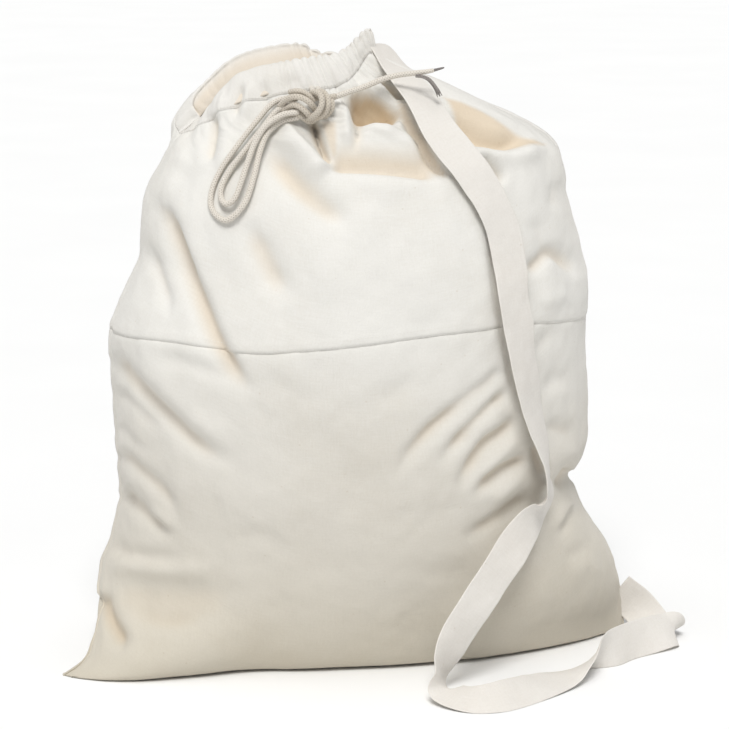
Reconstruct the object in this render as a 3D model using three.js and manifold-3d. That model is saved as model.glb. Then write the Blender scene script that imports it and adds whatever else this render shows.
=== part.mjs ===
// Cotton laundry bag: a stuffed-shape drawstring sack that stands on its base,
// with a gathered hem channel at the mouth, a drawcord tied in a bow in front and
// a flat carrying strap sewn to the mouth and to the lower right side seam.
// Units are millimetres, +Z is up, +X is the bag's right-hand side, the front faces -Y.
// The origin is on the floor under the middle of the bag, on the front base panel.
import * as THREE from 'three';
import { mergeVertices } from 'three/addons/utils/BufferGeometryUtils.js';
import Module from 'manifold-3d';

const wasm = await Module();
wasm.setup();

// ---- driving dimensions -------------------------------------------------
const CLOTH = 2.0;            // thickness of a panel with its turned-in seams
const GAP = 0.3;              // clearance kept between neighbouring pieces
const SIDE_SEAM_Y = 12;       // plane of the two side seams and the bottom seam
const SEAM_Z = 333;           // height of the seam between lower and upper panels
const TOP_Z = 571.7;          // top of the upper panels, under the hem channel
const SECTION_POWER = 2.2;    // roundness of the bag's cross-section
const COLUMNS = 16;           // cells across one panel
const HEM_BOTTOM = 572;       // gathered hem channel at the mouth
const HEM_HEIGHT = 31;
const HEM_WALL = 1.8;
const HEM_DEPTH = 11;         // inside to outside of the gathered channel
const HEM_CENTRE = [-17, 2];  // middle of the gathered mouth
const HEM_HALF = [36, 24];    // half width and half depth at mid-wall
const CORD_D = 5.5;           // drawcord
const STRAP_W = 38;           // strap tape
const STRAP_T = 2.4;
const COTTON = 0xe9e1d4;
const TAPE = 0xeae3d8;
const CORD = 0xd8cdbb;
const TIP = 0x77736d;

// Outline of the filled bag: height, left edge, right edge, depth in front,
// depth behind, edge sharpness, and the lift of the left and rear shoulder.
const OUTLINE = [
  [0, -296, 286, 88, 80, 0.80, 0], [12, -278, 285, 97, 90, 0.72, 0],
  [35, -268, 282, 107, 100, 0.65, 0], [55, -262, 278, 114, 107, 0.60, 0],
  [77, -257, 272, 120, 113, 0.57, 0], [98, -251, 263, 126, 118, 0.55, 0],
  [120, -242, 249, 131, 122, 0.54, 0], [142, -236, 235, 136, 126, 0.53, 0],
  [163, -233, 227, 140, 130, 0.52, 0], [175, -233, 226, 142, 132, 0.51, 0],
  [188, -235, 234, 144, 133, 0.50, 0], [208, -237, 240, 146, 134, 0.50, 0],
  [250, -239, 240, 150, 136, 0.50, 0], [292, -241, 237, 152, 138, 0.50, 0], [333, -240, 236, 152, 138, 0.50, 0],
  [362, -229, 239, 149, 135, 0.50, 0],
  [382, -219, 238, 146, 132, 0.50, 0], [404, -209, 230, 142, 128, 0.50, 0],
  [432, -206.8, 223, 134, 120, 0.50, 0],
  [460, -205, 216, 124, 110, 0.50, 0], [480, -197, 213, 115, 102, 0.50, 0],
  [500, -184, 209, 104, 93, 0.50, 0], [515, -180, 197, 94, 85, 0.50, 0],
  [530, -176, 168, 82, 75, 0.50, 0], [543, -170, 140, 70, 64, 0.50, 0],
  [555, -162, 112, 58, 53, 0.50, 0], [564, -150, 92, 49, 45, 0.52, 5],
  [569, -118, 66, 42, 38, 0.55, 22], [571.7, -66, 40, 36, 32, 0.60, 0],
];

// ---- materials ----------------------------------------------------------
const cloth = () => new THREE.MeshStandardMaterial({ color: COTTON, roughness: 0.92, metalness: 0 });
const tape = () => new THREE.MeshStandardMaterial({ color: TAPE, roughness: 0.9, metalness: 0 });
const braid = () => new THREE.MeshStandardMaterial({ color: CORD, roughness: 0.88, metalness: 0 });
const tipMat = () => new THREE.MeshStandardMaterial({ color: TIP, roughness: 0.8, metalness: 0 });

const group = new THREE.Group();
const add = (name, geometry, material) => {
  const mesh = new THREE.Mesh(geometry, material);
  mesh.name = name;
  group.add(mesh);
  return mesh;
};
const toGeometry = (positions, triangles) => {
  const g = new THREE.BufferGeometry();
  g.setAttribute('position', new THREE.Float32BufferAttribute(positions.flat(), 3));
  g.setIndex(triangles.flat());
  return g;
};
const smooth = (a, b, x) => {
  const t = Math.min(1, Math.max(0, (x - a) / (b - a)));
  return t * t * (3 - 2 * t);
};

// The lower left corner of the stuffed bag is pushed forward along the floor.
const cornerShift = (u, z) => -76 * smooth(-0.3, -1, u) * (1 - smooth(0, 98, z));
// The seam between lower and upper panels sags in the middle and rises to the right:
// position across the panel, rise in front, rise behind.
const SEAM_RISE = [
  [-1, 0, 0], [-0.85, 5, 1], [-0.75, 6, 2], [-0.6, 2, 2], [-0.45, 0, 3], [-0.3, 3, 3], [-0.1, 7, 4],
  [0.1, 12, 5], [0.3, 16, 5], [0.5, 18, 5], [0.7, 17, 6], [0.85, 12, 6], [1, 6, 6],
];
const seamRise = (u, side) => {
  const k = Math.min(SEAM_RISE.length - 2, Math.max(0, SEAM_RISE.findIndex((r) => r[0] > u) - 1));
  const c = side < 0 ? 1 : 2, a = SEAM_RISE[k], b = SEAM_RISE[k + 1];
  return u >= 1 ? SEAM_RISE[SEAM_RISE.length - 1][c] : a[c] + (b[c] - a[c]) * (u - a[0]) / (b[0] - a[0]);
};
const seamHat = (z) => smooth(208, SEAM_Z, z) * (1 - smooth(SEAM_Z, 460, z));

// ---- panels -------------------------------------------------------------
// One panel is a curved sheet with thickness. side is -1 in front and +1 behind.
// A lower panel also carries its half of the flat base.
function panel(side, z0, z1, base) {
  const rows = OUTLINE.filter((r) => r[0] >= z0 - 1e-6 && r[0] <= z1 + 1e-6).map((r) => [...r]);
  const nc = COLUMNS, nr = rows.length;
  const seam = SIDE_SEAM_Y + side * GAP / 2;
  const us = Array.from({ length: nc + 1 }, (_, j) => Math.sin(((j / nc) * 2 - 1) * Math.PI / 2));
  const outer = rows.map(([z, xl, xr, df, db, q, lift]) => us.map((u) => {
    const c = (xl + xr) / 2, h = (xr - xl) / 2, d = side < 0 ? df + SIDE_SEAM_Y : db - SIDE_SEAM_Y;
    const bulge = Math.pow(Math.max(0, 1 - Math.pow(Math.abs(u), SECTION_POWER)), q);
    const left = side < 0 ? smooth(-0.55, -1, u) : smooth(0.5, -0.1, u);
    const rise = seamRise(u, side) * seamHat(z) + (!base && z === z0 ? GAP : 0);
    return new THREE.Vector3(c + h * u, seam + cornerShift(u, z) + side * d * bulge, z + lift * left + rise);
  }));
  // outward normals of the grid, kept in the plane of each seam along the edges
  const normal = (i, j) => {
    const a = outer[Math.min(nr - 1, i + 1)][j].clone().sub(outer[Math.max(0, i - 1)][j]);
    const b = outer[i][Math.min(nc, j + 1)].clone().sub(outer[i][Math.max(0, j - 1)]);
    const n = b.cross(a);
    if (side > 0) n.negate();
    if (j === 0 || j === nc) n.set(j === 0 ? -1 : 1, 0, 0);
    if (i === 0 || i === nr - 1) n.z = 0;
    if (n.length() < 1e-6) n.set(j === 0 ? -1 : 1, 0, 0);
    if ((j === 0 && n.x > -0.2) || (j === nc && n.x < 0.2)) n.set(j === 0 ? -1 : 1, 0, 0);
    return n.normalize();
  };
  const inner = outer.map((row, i) => row.map((p, j) => {
    const q = p.clone().addScaledVector(normal(i, j), -CLOTH * (j === 0 || j === nc ? 1.6 : 1));
    if (base && i === 0) q.z = CLOTH;
    return q;
  }));
  const pos = [], tri = [];
  const put = (p) => { pos.push([p.x, p.y, p.z]); return pos.length - 1; };
  const O = outer.map((r) => r.map(put)), I = inner.map((r) => r.map(put));
  const quad = (a, b, c, d) => { tri.push([a, b, c], [a, c, d]); };
  const flip = side > 0;
  const q4 = (a, b, c, d) => (flip ? quad(d, c, b, a) : quad(a, b, c, d));
  for (let i = 0; i < nr - 1; i++) {
    for (let j = 0; j < nc; j++) {
      q4(O[i][j], O[i][j + 1], O[i + 1][j + 1], O[i + 1][j]);
      q4(I[i][j + 1], I[i][j], I[i + 1][j], I[i + 1][j + 1]);
    }
    q4(O[i + 1][0], I[i + 1][0], I[i][0], O[i][0]);
    q4(O[i][nc], I[i][nc], I[i + 1][nc], O[i + 1][nc]);
  }
  for (let j = 0; j < nc; j++) q4(O[nr - 1][j], O[nr - 1][j + 1], I[nr - 1][j + 1], I[nr - 1][j]);
  if (!base) {
    for (let j = 0; j < nc; j++) q4(O[0][j + 1], O[0][j], I[0][j], I[0][j + 1]);
  } else {
    // flat base: the outer and inner skins run back to the bottom seam
    const SO = outer[0].map((p, j) => (j === 0 ? O[0][0] : j === nc ? O[0][nc] : put(new THREE.Vector3(p.x, seam + cornerShift(us[j], 0), 0))));
    const SI = outer[0].map((p, j) => (j === 0 ? I[0][0] : j === nc ? I[0][nc] : put(new THREE.Vector3(p.x, seam + cornerShift(us[j], 0), CLOTH))));
    const t3 = (a, b, c) => { if (a !== b && b !== c && a !== c) tri.push(flip ? [c, b, a] : [a, b, c]); };
    for (let j = 0; j < nc; j++) {
      t3(O[0][j], SO[j], SO[j + 1]); t3(O[0][j], SO[j + 1], O[0][j + 1]);
      t3(I[0][j], SI[j + 1], SI[j]); t3(I[0][j], I[0][j + 1], SI[j + 1]);
      t3(SO[j], SI[j], SI[j + 1]); t3(SO[j], SI[j + 1], SO[j + 1]);
    }
  }
  return toGeometry(pos, tri);
}
const topOfLower = SEAM_Z, bottomOfUpper = SEAM_Z;
add('front_lower_panel', panel(-1, 0, topOfLower, true), cloth());
add('back_lower_panel', panel(1, 0, topOfLower, true), cloth());
add('front_upper_panel', panel(-1, bottomOfUpper, TOP_Z, false), cloth());
add('back_upper_panel', panel(1, bottomOfUpper, TOP_Z, false), cloth());

// ---- gathered hem channel ----------------------------------------------
const hemPoint = (angle) => new THREE.Vector3(
  HEM_CENTRE[0] + HEM_HALF[0] * Math.cos(angle), HEM_CENTRE[1] + HEM_HALF[1] * Math.sin(angle), 0);
const hemNormal = (angle) => new THREE.Vector3(
  Math.cos(angle) / HEM_HALF[0], Math.sin(angle) / HEM_HALF[1], 0).normalize();

// half of the ring, a hollow channel open at both ends
function hemHalf(a0, a1, steps) {
  const w = HEM_DEPTH / 2, wi = w - HEM_WALL, z0 = HEM_BOTTOM, z1 = HEM_BOTTOM + HEM_HEIGHT;
  const loopO = [[w, z0], [w, z1], [-w, z1], [-w, z0]];
  const loopI = [[wi, z0 + HEM_WALL], [wi, z1 - HEM_WALL], [-wi, z1 - HEM_WALL], [-wi, z0 + HEM_WALL]];
  const pos = [], tri = [], O = [], I = [];
  for (let s = 0; s <= steps; s++) {
    const a = a0 + (a1 - a0) * (s / steps), p = hemPoint(a), n = hemNormal(a);
    const place = ([r, z]) => { pos.push([p.x + n.x * r, p.y + n.y * r, z]); return pos.length - 1; };
    O.push(loopO.map(place)); I.push(loopI.map(place));
  }
  const quad = (a, b, c, d) => tri.push([a, b, c], [a, c, d]);
  for (let s = 0; s < steps; s++) for (let k = 0; k < 4; k++) {
    const m = (k + 1) % 4;
    quad(O[s][k], O[s + 1][k], O[s + 1][m], O[s][m]);
    quad(I[s][m], I[s + 1][m], I[s + 1][k], I[s][k]);
  }
  for (let k = 0; k < 4; k++) {
    const m = (k + 1) % 4;
    quad(O[0][m], I[0][m], I[0][k], O[0][k]);
    quad(O[steps][k], I[steps][k], I[steps][m], O[steps][m]);
  }
  return toGeometry(pos, tri);
}
const toSolid = (geometry) => {
  const g = geometry.clone();
  g.deleteAttribute('normal');
  g.deleteAttribute('uv');
  const m = mergeVertices(g, 1e-4);
  return new wasm.Manifold(new wasm.Mesh({
    numProp: 3,
    vertProperties: new Float32Array(m.attributes.position.array),
    triVerts: new Uint32Array(m.index.array),
  }));
};
const fromSolid = (solid) => {
  const m = solid.getMesh();
  const g = new THREE.BufferGeometry();
  g.setAttribute('position', new THREE.Float32BufferAttribute(Array.from(m.vertProperties), 3));
  g.setIndex(Array.from(m.triVerts));
  return g;
};
const halfGap = GAP / 2 / 40;
// the slot in the front of the channel, low on the left, that the cord comes out of
const slotAngle = Math.PI * 1.295;
const slotAt = hemPoint(slotAngle).addScaledVector(hemNormal(slotAngle), HEM_DEPTH / 2);
const slot = new THREE.BoxGeometry(11, 8, 13);
slot.rotateZ(Math.atan2(hemNormal(slotAngle).y, hemNormal(slotAngle).x) - Math.PI / 2);
slot.translate(slotAt.x, slotAt.y, HEM_BOTTOM + 10);
const frontHem = toSolid(hemHalf(Math.PI + halfGap, 2 * Math.PI - halfGap, 18)).subtract(toSolid(slot));
add('mouth_casing_front', fromSolid(frontHem), cloth());
add('mouth_casing_back', hemHalf(halfGap, Math.PI - halfGap, 18), cloth());

// ---- drawcord -----------------------------------------------------------
function tube(points, steps, diameter = CORD_D, closedEnds = true) {
  const curve = new THREE.CatmullRomCurve3(points.map((p) => new THREE.Vector3(...p)), false, 'centripetal');
  const shape = new THREE.Shape();
  const sides = 8;
  for (let k = 0; k < sides; k++) {
    const a = (k / sides) * 2 * Math.PI;
    const x = Math.cos(a) * diameter / 2, y = Math.sin(a) * diameter / 2;
    if (k === 0) shape.moveTo(x, y); else shape.lineTo(x, y);
  }
  shape.closePath();
  return new THREE.ExtrudeGeometry(shape, { steps, bevelEnabled: false, extrudePath: curve });
}
// the run inside the channel goes once round the mouth and stops short of itself at the slot
const runZ = HEM_BOTTOM + 13;
const channelRun = Array.from({ length: 25 }, (_, i) => {
  const a = slotAngle + 0.2 + (i / 24) * (2 * Math.PI - 0.4), p = hemPoint(a);
  return [p.x, p.y, runZ];
});
add('drawcord_channel_run', tube(channelRun, 32, 5), braid());

const KNOT = [-45.2, -72.5, 558.5];
function knotBody() {
  // a rounded lump with the three turns of the knot raised on it
  const g = new THREE.SphereGeometry(1, 22, 14);
  const p = g.attributes.position;
  for (let i = 0; i < p.count; i++) {
    const v = new THREE.Vector3(p.getX(i), p.getY(i), p.getZ(i));
    const turn = 1 + 0.09 * Math.cos(3 * Math.atan2(v.z, v.x) + 4 * v.y) * (1 - v.y * v.y);
    p.setXYZ(i, KNOT[0] + v.x * 13.6 * turn, KNOT[1] + v.y * 9.5, KNOT[2] + v.z * 12.2 * turn);
  }
  g.deleteAttribute('normal');
  g.deleteAttribute('uv');
  return mergeVertices(g, 1e-4);
}
add('drawcord_knot', knotBody(), braid());
// two strands that run from the knot back into the slot
const slotDir = hemNormal(slotAngle);
add('drawcord_exit_strands', tube([
  [slotAt.x - slotDir.x * 2.6, slotAt.y - slotDir.y * 2.6, HEM_BOTTOM + 9.5],
  [slotAt.x + slotDir.x * 5, slotAt.y + slotDir.y * 5, HEM_BOTTOM + 7.5],
  [slotAt.x + slotDir.x * 14, slotAt.y + slotDir.y * 14, HEM_BOTTOM + 4.5],
  [KNOT[0] + 4, KNOT[1] + 11, KNOT[2] + 15.5],
], 10), braid());

const BOW_OUTER = [
  [-62.2, -60.5, 563.5], [-72.5, -56.5, 563.4], [-84.6, -55.5, 558.5], [-100.5, -64, 543.2],
  [-120, -71, 520.5], [-135.6, -74, 499.2], [-144.5, -80.5, 482.2], [-147, -86.5, 468.2],
  [-142.6, -94, 458.4], [-133.8, -100.5, 454.5], [-123.6, -103.5, 461.4], [-113.8, -101, 475],
  [-105.4, -91.5, 497.2], [-99.2, -82.5, 517.7], [-91, -74.5, 533.2], [-78.5, -68.5, 542.2], [-62, -69.5, 546.6],
];
const BOW_INNER = [
  [-61.6, -66.5, 557], [-71.5, -63.6, 557], [-81.8, -62.6, 551.8], [-95.8, -71, 537], [-113.7, -77, 516.4],
  [-127, -79.5, 499.6], [-135.4, -84.5, 486], [-137.6, -90, 475.5], [-133.6, -96.5, 469.4],
  [-126, -99.5, 474], [-118.6, -95.5, 489.8], [-111.8, -88.5, 507.1], [-104.2, -81.5, 524.4],
  [-93, -77.2, 540.4], [-78, -74.6, 549.6], [-62.6, -73.2, 552.4],
];
const TAIL = [
  [-28.9, -63.5, 563.8], [-14, -58.5, 568.2], [3.2, -54.5, 573], [20.7, -54, 579.8],
  [35, -56, 583.9], [51, -59.5, 586.2], [62.3, -60.5, 587.5], [69.5, -60, 588.5],
];
add('drawcord_bow_outer', tube(BOW_OUTER, 44), braid());
add('drawcord_bow_inner', tube(BOW_INNER, 38), braid());
add('drawcord_tail', tube(TAIL, 16), braid());
add('drawcord_tail_tip', tube([[70, -60, 588.6], [74, -59.5, 589.4], [80, -58.6, 590.8]], 4, 2.2), tipMat());
add('drawcord_frayed_end', tube([[61.4, -64.6, 583.2], [66.5, -65.4, 581.6], [71.2, -65.6, 576.5], [75.2, -65.2, 569], [77.6, -64.6, 562.8]], 8, 3.2), tipMat());

// ---- strap --------------------------------------------------------------
// centre of the tape and the direction across its width, from the mouth down to the side seam
const STRAP = [
  [60.8, -51.5, 572.8, 0.88, 0.25, 0.42], [70.4, -66.5, 553.9, 0.92, 0.2, 0.36],
  [80.9, -79.5, 535.3, 0.93, 0.16, 0.3], [90.6, -92.6, 518.1, 0.93, 0.22, 0.25],
  [99.4, -101.6, 501.2, 0.93, 0.3, 0.2], [109.9, -106.3, 481.8, 0.93, 0.33, 0.15],
  [120.5, -113.0, 462.7, 0.93, 0.35, 0.0], [130.0, -116.0, 440.0, 0.93, 0.36, -0.08],
  [135.1, -122.3, 406.9, 0.91, 0.38, -0.12], [137.0, -128.5, 379.8, 0.88, 0.45, -0.15],
  [141.4, -130.0, 355.0, 0.86, 0.49, -0.13], [146.6, -130.3, 321.3, 0.77, 0.62, -0.15],
  [152.1, -128.5, 294.7, 0.72, 0.67, -0.18], [157.9, -126.5, 269.9, 0.68, 0.70, -0.23],
  [163.2, -126.0, 249.2, 0.59, 0.77, -0.23], [168.5, -125.0, 231.2, 0.48, 0.84, -0.24],
  [173.1, -122.5, 211.1, 0.30, 0.92, -0.26], [176.1, -118.0, 192.2, 0.26, 0.93, -0.27],
  [177.0, -113.5, 178.5, 0.30, 0.90, -0.30], [173.5, -110.5, 168.4, 0.46, 0.82, -0.33],
  [166.5, -111.5, 160.5, 0.66, 0.66, -0.34], [158.5, -115.5, 152.0, 0.78, 0.50, -0.36],
  [147.5, -124.0, 140.5, 0.84, 0.37, -0.39],
  [131.9, -138.0, 126.0, 0.85, 0.27, -0.42], [113.5, -148.0, 102.5, 0.85, 0.27, -0.42],
  [94.3, -158.0, 78.3, 0.86, 0.28, -0.40], [77.3, -163.0, 52.9, 0.88, 0.32, -0.30],
  [67.5, -169.0, 33.0, 0.76, 0.63, -0.15], [62.0, -176.0, 17.5, 0.45, 0.88, -0.05],
  [62.5, -184.5, 8.8, 0.50, 0.85, 0.12], [68.0, -198.0, 6.8, 0.75, 0.62, 0.20],
  [77.5, -212.0, 7.6, 0.65, 0.70, 0.28], [91.0, -221.0, 8.2, 0.28, 0.91, 0.30],
  [110.0, -220.0, 8.4, -0.25, 0.91, 0.32], [133.2, -204.0, 8.4, -0.58, 0.74, 0.33],
  [164.0, -177.0, 6.6, -0.62, 0.76, 0.15], [190.8, -153.5, 6.2, -0.62, 0.76, -0.15],
  [204.0, -143.5, 10.5, -0.62, 0.66, -0.42], [217.0, -133.0, 15.2, -0.48, 0.48, -0.70],
  [231.0, -121.5, 19.0, -0.12, 0.12, -0.90], [247.0, -108.0, 20.2, 0.24, -0.24, -0.93],
  [273.0, -85.0, 20.6, 0.28, -0.35, -0.88],
  [294.0, -71.0, 21.0, 0.25, -0.50, -0.80], [312.0, -61.0, 22.0, 0.15, -0.70, -0.65],
  [325.0, -51.5, 20.5, -0.05, -0.80, -0.50], [331.5, -42.0, 14.5, -0.40, -0.85, -0.25],
  [327.0, -32.0, 8.0, -0.75, -0.62, -0.15], [320.0, -19.0, 7.0, -0.88, -0.42, -0.15],
  [314.0, -5.5, 12.2, -0.85, -0.25, -0.42], [308.0, 4.0, 20.0, -0.76, -0.08, -0.62], [300.9, 10.2, 28.0, -0.69, 0.0, -0.72],
];
function ribbon(stations, width, thickness, steps) {
  const centre = new THREE.CatmullRomCurve3(stations.map((s) => new THREE.Vector3(s[0], s[1], s[2])), false, 'centripetal');
  const n = stations.length - 1;
  const pos = [], tri = [];
  for (let i = 0; i <= steps; i++) {
    const t = i / steps, k = Math.min(n - 1, Math.floor(t * n)), f = t * n - k;
    const c = centre.getPoint(t), tangent = centre.getTangent(t).normalize();
    const w = new THREE.Vector3(...stations[k].slice(3)).normalize()
      .lerp(new THREE.Vector3(...stations[k + 1].slice(3)).normalize(), f);
    w.addScaledVector(tangent, -w.dot(tangent)).normalize();
    const up = tangent.clone().cross(w).normalize();
    for (const [a, b] of [[-1, -1], [1, -1], [1, 1], [-1, 1]]) {
      const p = c.clone().addScaledVector(w, a * width / 2).addScaledVector(up, b * thickness / 2);
      pos.push([p.x, p.y, p.z]);
    }
  }
  for (let i = 0; i < steps; i++) for (let k = 0; k < 4; k++) {
    const m = (k + 1) % 4, a = i * 4 + k, b = i * 4 + m, c = b + 4, d = a + 4;
    tri.push([a, b, c], [a, c, d]);
  }
  const e = steps * 4;
  tri.push([0, 2, 1], [0, 3, 2], [e, e + 1, e + 2], [e, e + 2, e + 3]);
  return toGeometry(pos, tri);
}
add('shoulder_strap', ribbon(STRAP, STRAP_W, STRAP_T, 96), tape());
// upper end: sewn flat against the right end of the hem channel, then folded over the peak
add('strap_upper_end', ribbon([
  [26.3, -1.0, 577, 0, 1, 0], [26.3, -1.0, 600, 0, 1, 0], [26.5, -1.5, 614, 0.02, 1, 0.02],
  [28.8, -4.0, 620.6, 0.15, 0.98, 0.12], [35.0, -13.0, 611.0, 0.35, 0.9, 0.25],
  [43.0, -24.0, 600.0, 0.62, 0.7, 0.45], [52.2, -37.0, 586.5, 0.8, 0.45, 0.45], [57.0, -44.6, 579.0, 0.85, 0.32, 0.43],
], STRAP_W, STRAP_T, 28), tape());
// lower end: a slanting tab that stands out of the right side seam
const edgeAt = (z) => {
  const k = OUTLINE.findIndex((r) => r[0] > z), a = OUTLINE[k - 1], b = OUTLINE[k];
  return a[2] + (b[2] - a[2]) * (z - a[0]) / (b[0] - a[0]);
};
function tab(z0, z1, tipX, tipZ, y, t) {
  const shape = new THREE.Shape();
  shape.moveTo(tipX, tipZ);
  for (const z of [z1, 55, 35, z0]) shape.lineTo(edgeAt(z) + 0.4, z);
  shape.closePath();
  const g = new THREE.ExtrudeGeometry(shape, { depth: t, bevelEnabled: false });
  g.rotateX(Math.PI / 2);
  g.translate(0, y + t / 2, 0);
  return g;
}
add('strap_lower_end', tab(19, 57, 310.6, 44.2, SIDE_SEAM_Y, STRAP_T), tape());

export default group;
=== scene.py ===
"""Cotton drawstring laundry bag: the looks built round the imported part.
All lengths below are in millimetres in the part's own frame and are turned into
metres when an object is made."""
import math
import bpy
import numpy as np
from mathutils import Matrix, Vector


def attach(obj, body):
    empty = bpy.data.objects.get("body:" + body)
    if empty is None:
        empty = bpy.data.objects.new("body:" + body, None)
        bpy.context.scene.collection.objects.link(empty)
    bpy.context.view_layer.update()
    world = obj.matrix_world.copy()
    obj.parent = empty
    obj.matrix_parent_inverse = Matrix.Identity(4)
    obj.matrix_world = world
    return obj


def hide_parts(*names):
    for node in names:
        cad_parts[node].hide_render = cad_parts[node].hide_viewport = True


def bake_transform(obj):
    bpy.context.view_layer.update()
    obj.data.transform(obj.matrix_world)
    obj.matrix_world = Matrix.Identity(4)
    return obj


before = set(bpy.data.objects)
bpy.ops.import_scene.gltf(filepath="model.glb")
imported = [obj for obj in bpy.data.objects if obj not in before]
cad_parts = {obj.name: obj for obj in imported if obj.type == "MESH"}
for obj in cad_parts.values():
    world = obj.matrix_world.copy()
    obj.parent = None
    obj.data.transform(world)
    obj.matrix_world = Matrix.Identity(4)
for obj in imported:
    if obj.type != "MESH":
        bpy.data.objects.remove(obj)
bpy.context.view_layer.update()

scene = bpy.context.scene
rng = np.random.default_rng(4127)

# ---------------------------------------------------------------------------
# camera
# ---------------------------------------------------------------------------
AZ, EL = math.radians(-8.0), math.radians(12.0)
DIST = 2600.0
AIM = np.array([12.0, 0.0, 290.0])
BACK = np.array([math.sin(AZ) * math.cos(EL), -math.cos(AZ) * math.cos(EL), math.sin(EL)])
RIGHT = np.array([math.cos(AZ), math.sin(AZ), 0.0])
UP = np.array([-math.sin(AZ) * math.sin(EL), math.cos(AZ) * math.sin(EL), math.cos(EL)])

cam_data = bpy.data.cameras.new("camera")
cam_data.sensor_width = 36.0
cam_data.lens = 128.4
cam_data.clip_end = 200.0
cam = bpy.data.objects.new("camera", cam_data)
scene.collection.objects.link(cam)
cam.location = Vector((AIM + BACK * DIST) / 1000.0)
cam.rotation_mode = "QUATERNION"
cam.rotation_quaternion = Vector(-BACK).to_track_quat("-Z", "Y")
scene.camera = cam


def elevation(p):
    """Front elevation of points: across and height, in mm, as they line up from the front."""
    q = np.asarray(p, float) - AIM
    d = DIST - q @ BACK
    return np.stack([12 + DIST * (q @ RIGHT) / d, 290 + DIST * (q @ UP) / d], -1)


def at_depth(x, z, y):
    """The point at depth y that shows at (x, z) in the front elevation."""
    direction = -BACK + RIGHT * (x - 12) / DIST + UP * (z - 290) / DIST
    start = AIM + BACK * DIST
    t = (y - start[1]) / direction[1]
    return start + direction * t


# ---------------------------------------------------------------------------
# materials
# ---------------------------------------------------------------------------
def new_material(name):
    m = bpy.data.materials.new(name)
    m.use_nodes = True
    m.node_tree.nodes.clear()
    return m, m.node_tree.nodes, m.node_tree.links


def node(nodes, kind, **settings):
    n = nodes.new(kind)
    for k, v in settings.items():
        setattr(n, k, v)
    return n


def math_node(nodes, links, op, a, b=None):
    n = node(nodes, "ShaderNodeMath", operation=op)
    for i, x in enumerate((a, b)):
        if x is None:
            continue
        if isinstance(x, (int, float)):
            n.inputs[i].default_value = x
        else:
            links.new(x, n.inputs[i])
    return n.outputs[0]


def ramp(nodes, links, fac, stops):
    n = node(nodes, "ShaderNodeValToRGB")
    e = n.color_ramp.elements
    while len(e) < len(stops):
        e.new(0.5)
    for el, (p, c) in zip(e, stops):
        el.position = p
        el.color = (*c, 1) if len(c) == 3 else c
    links.new(fac, n.inputs[0])
    return n.outputs[0]


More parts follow.
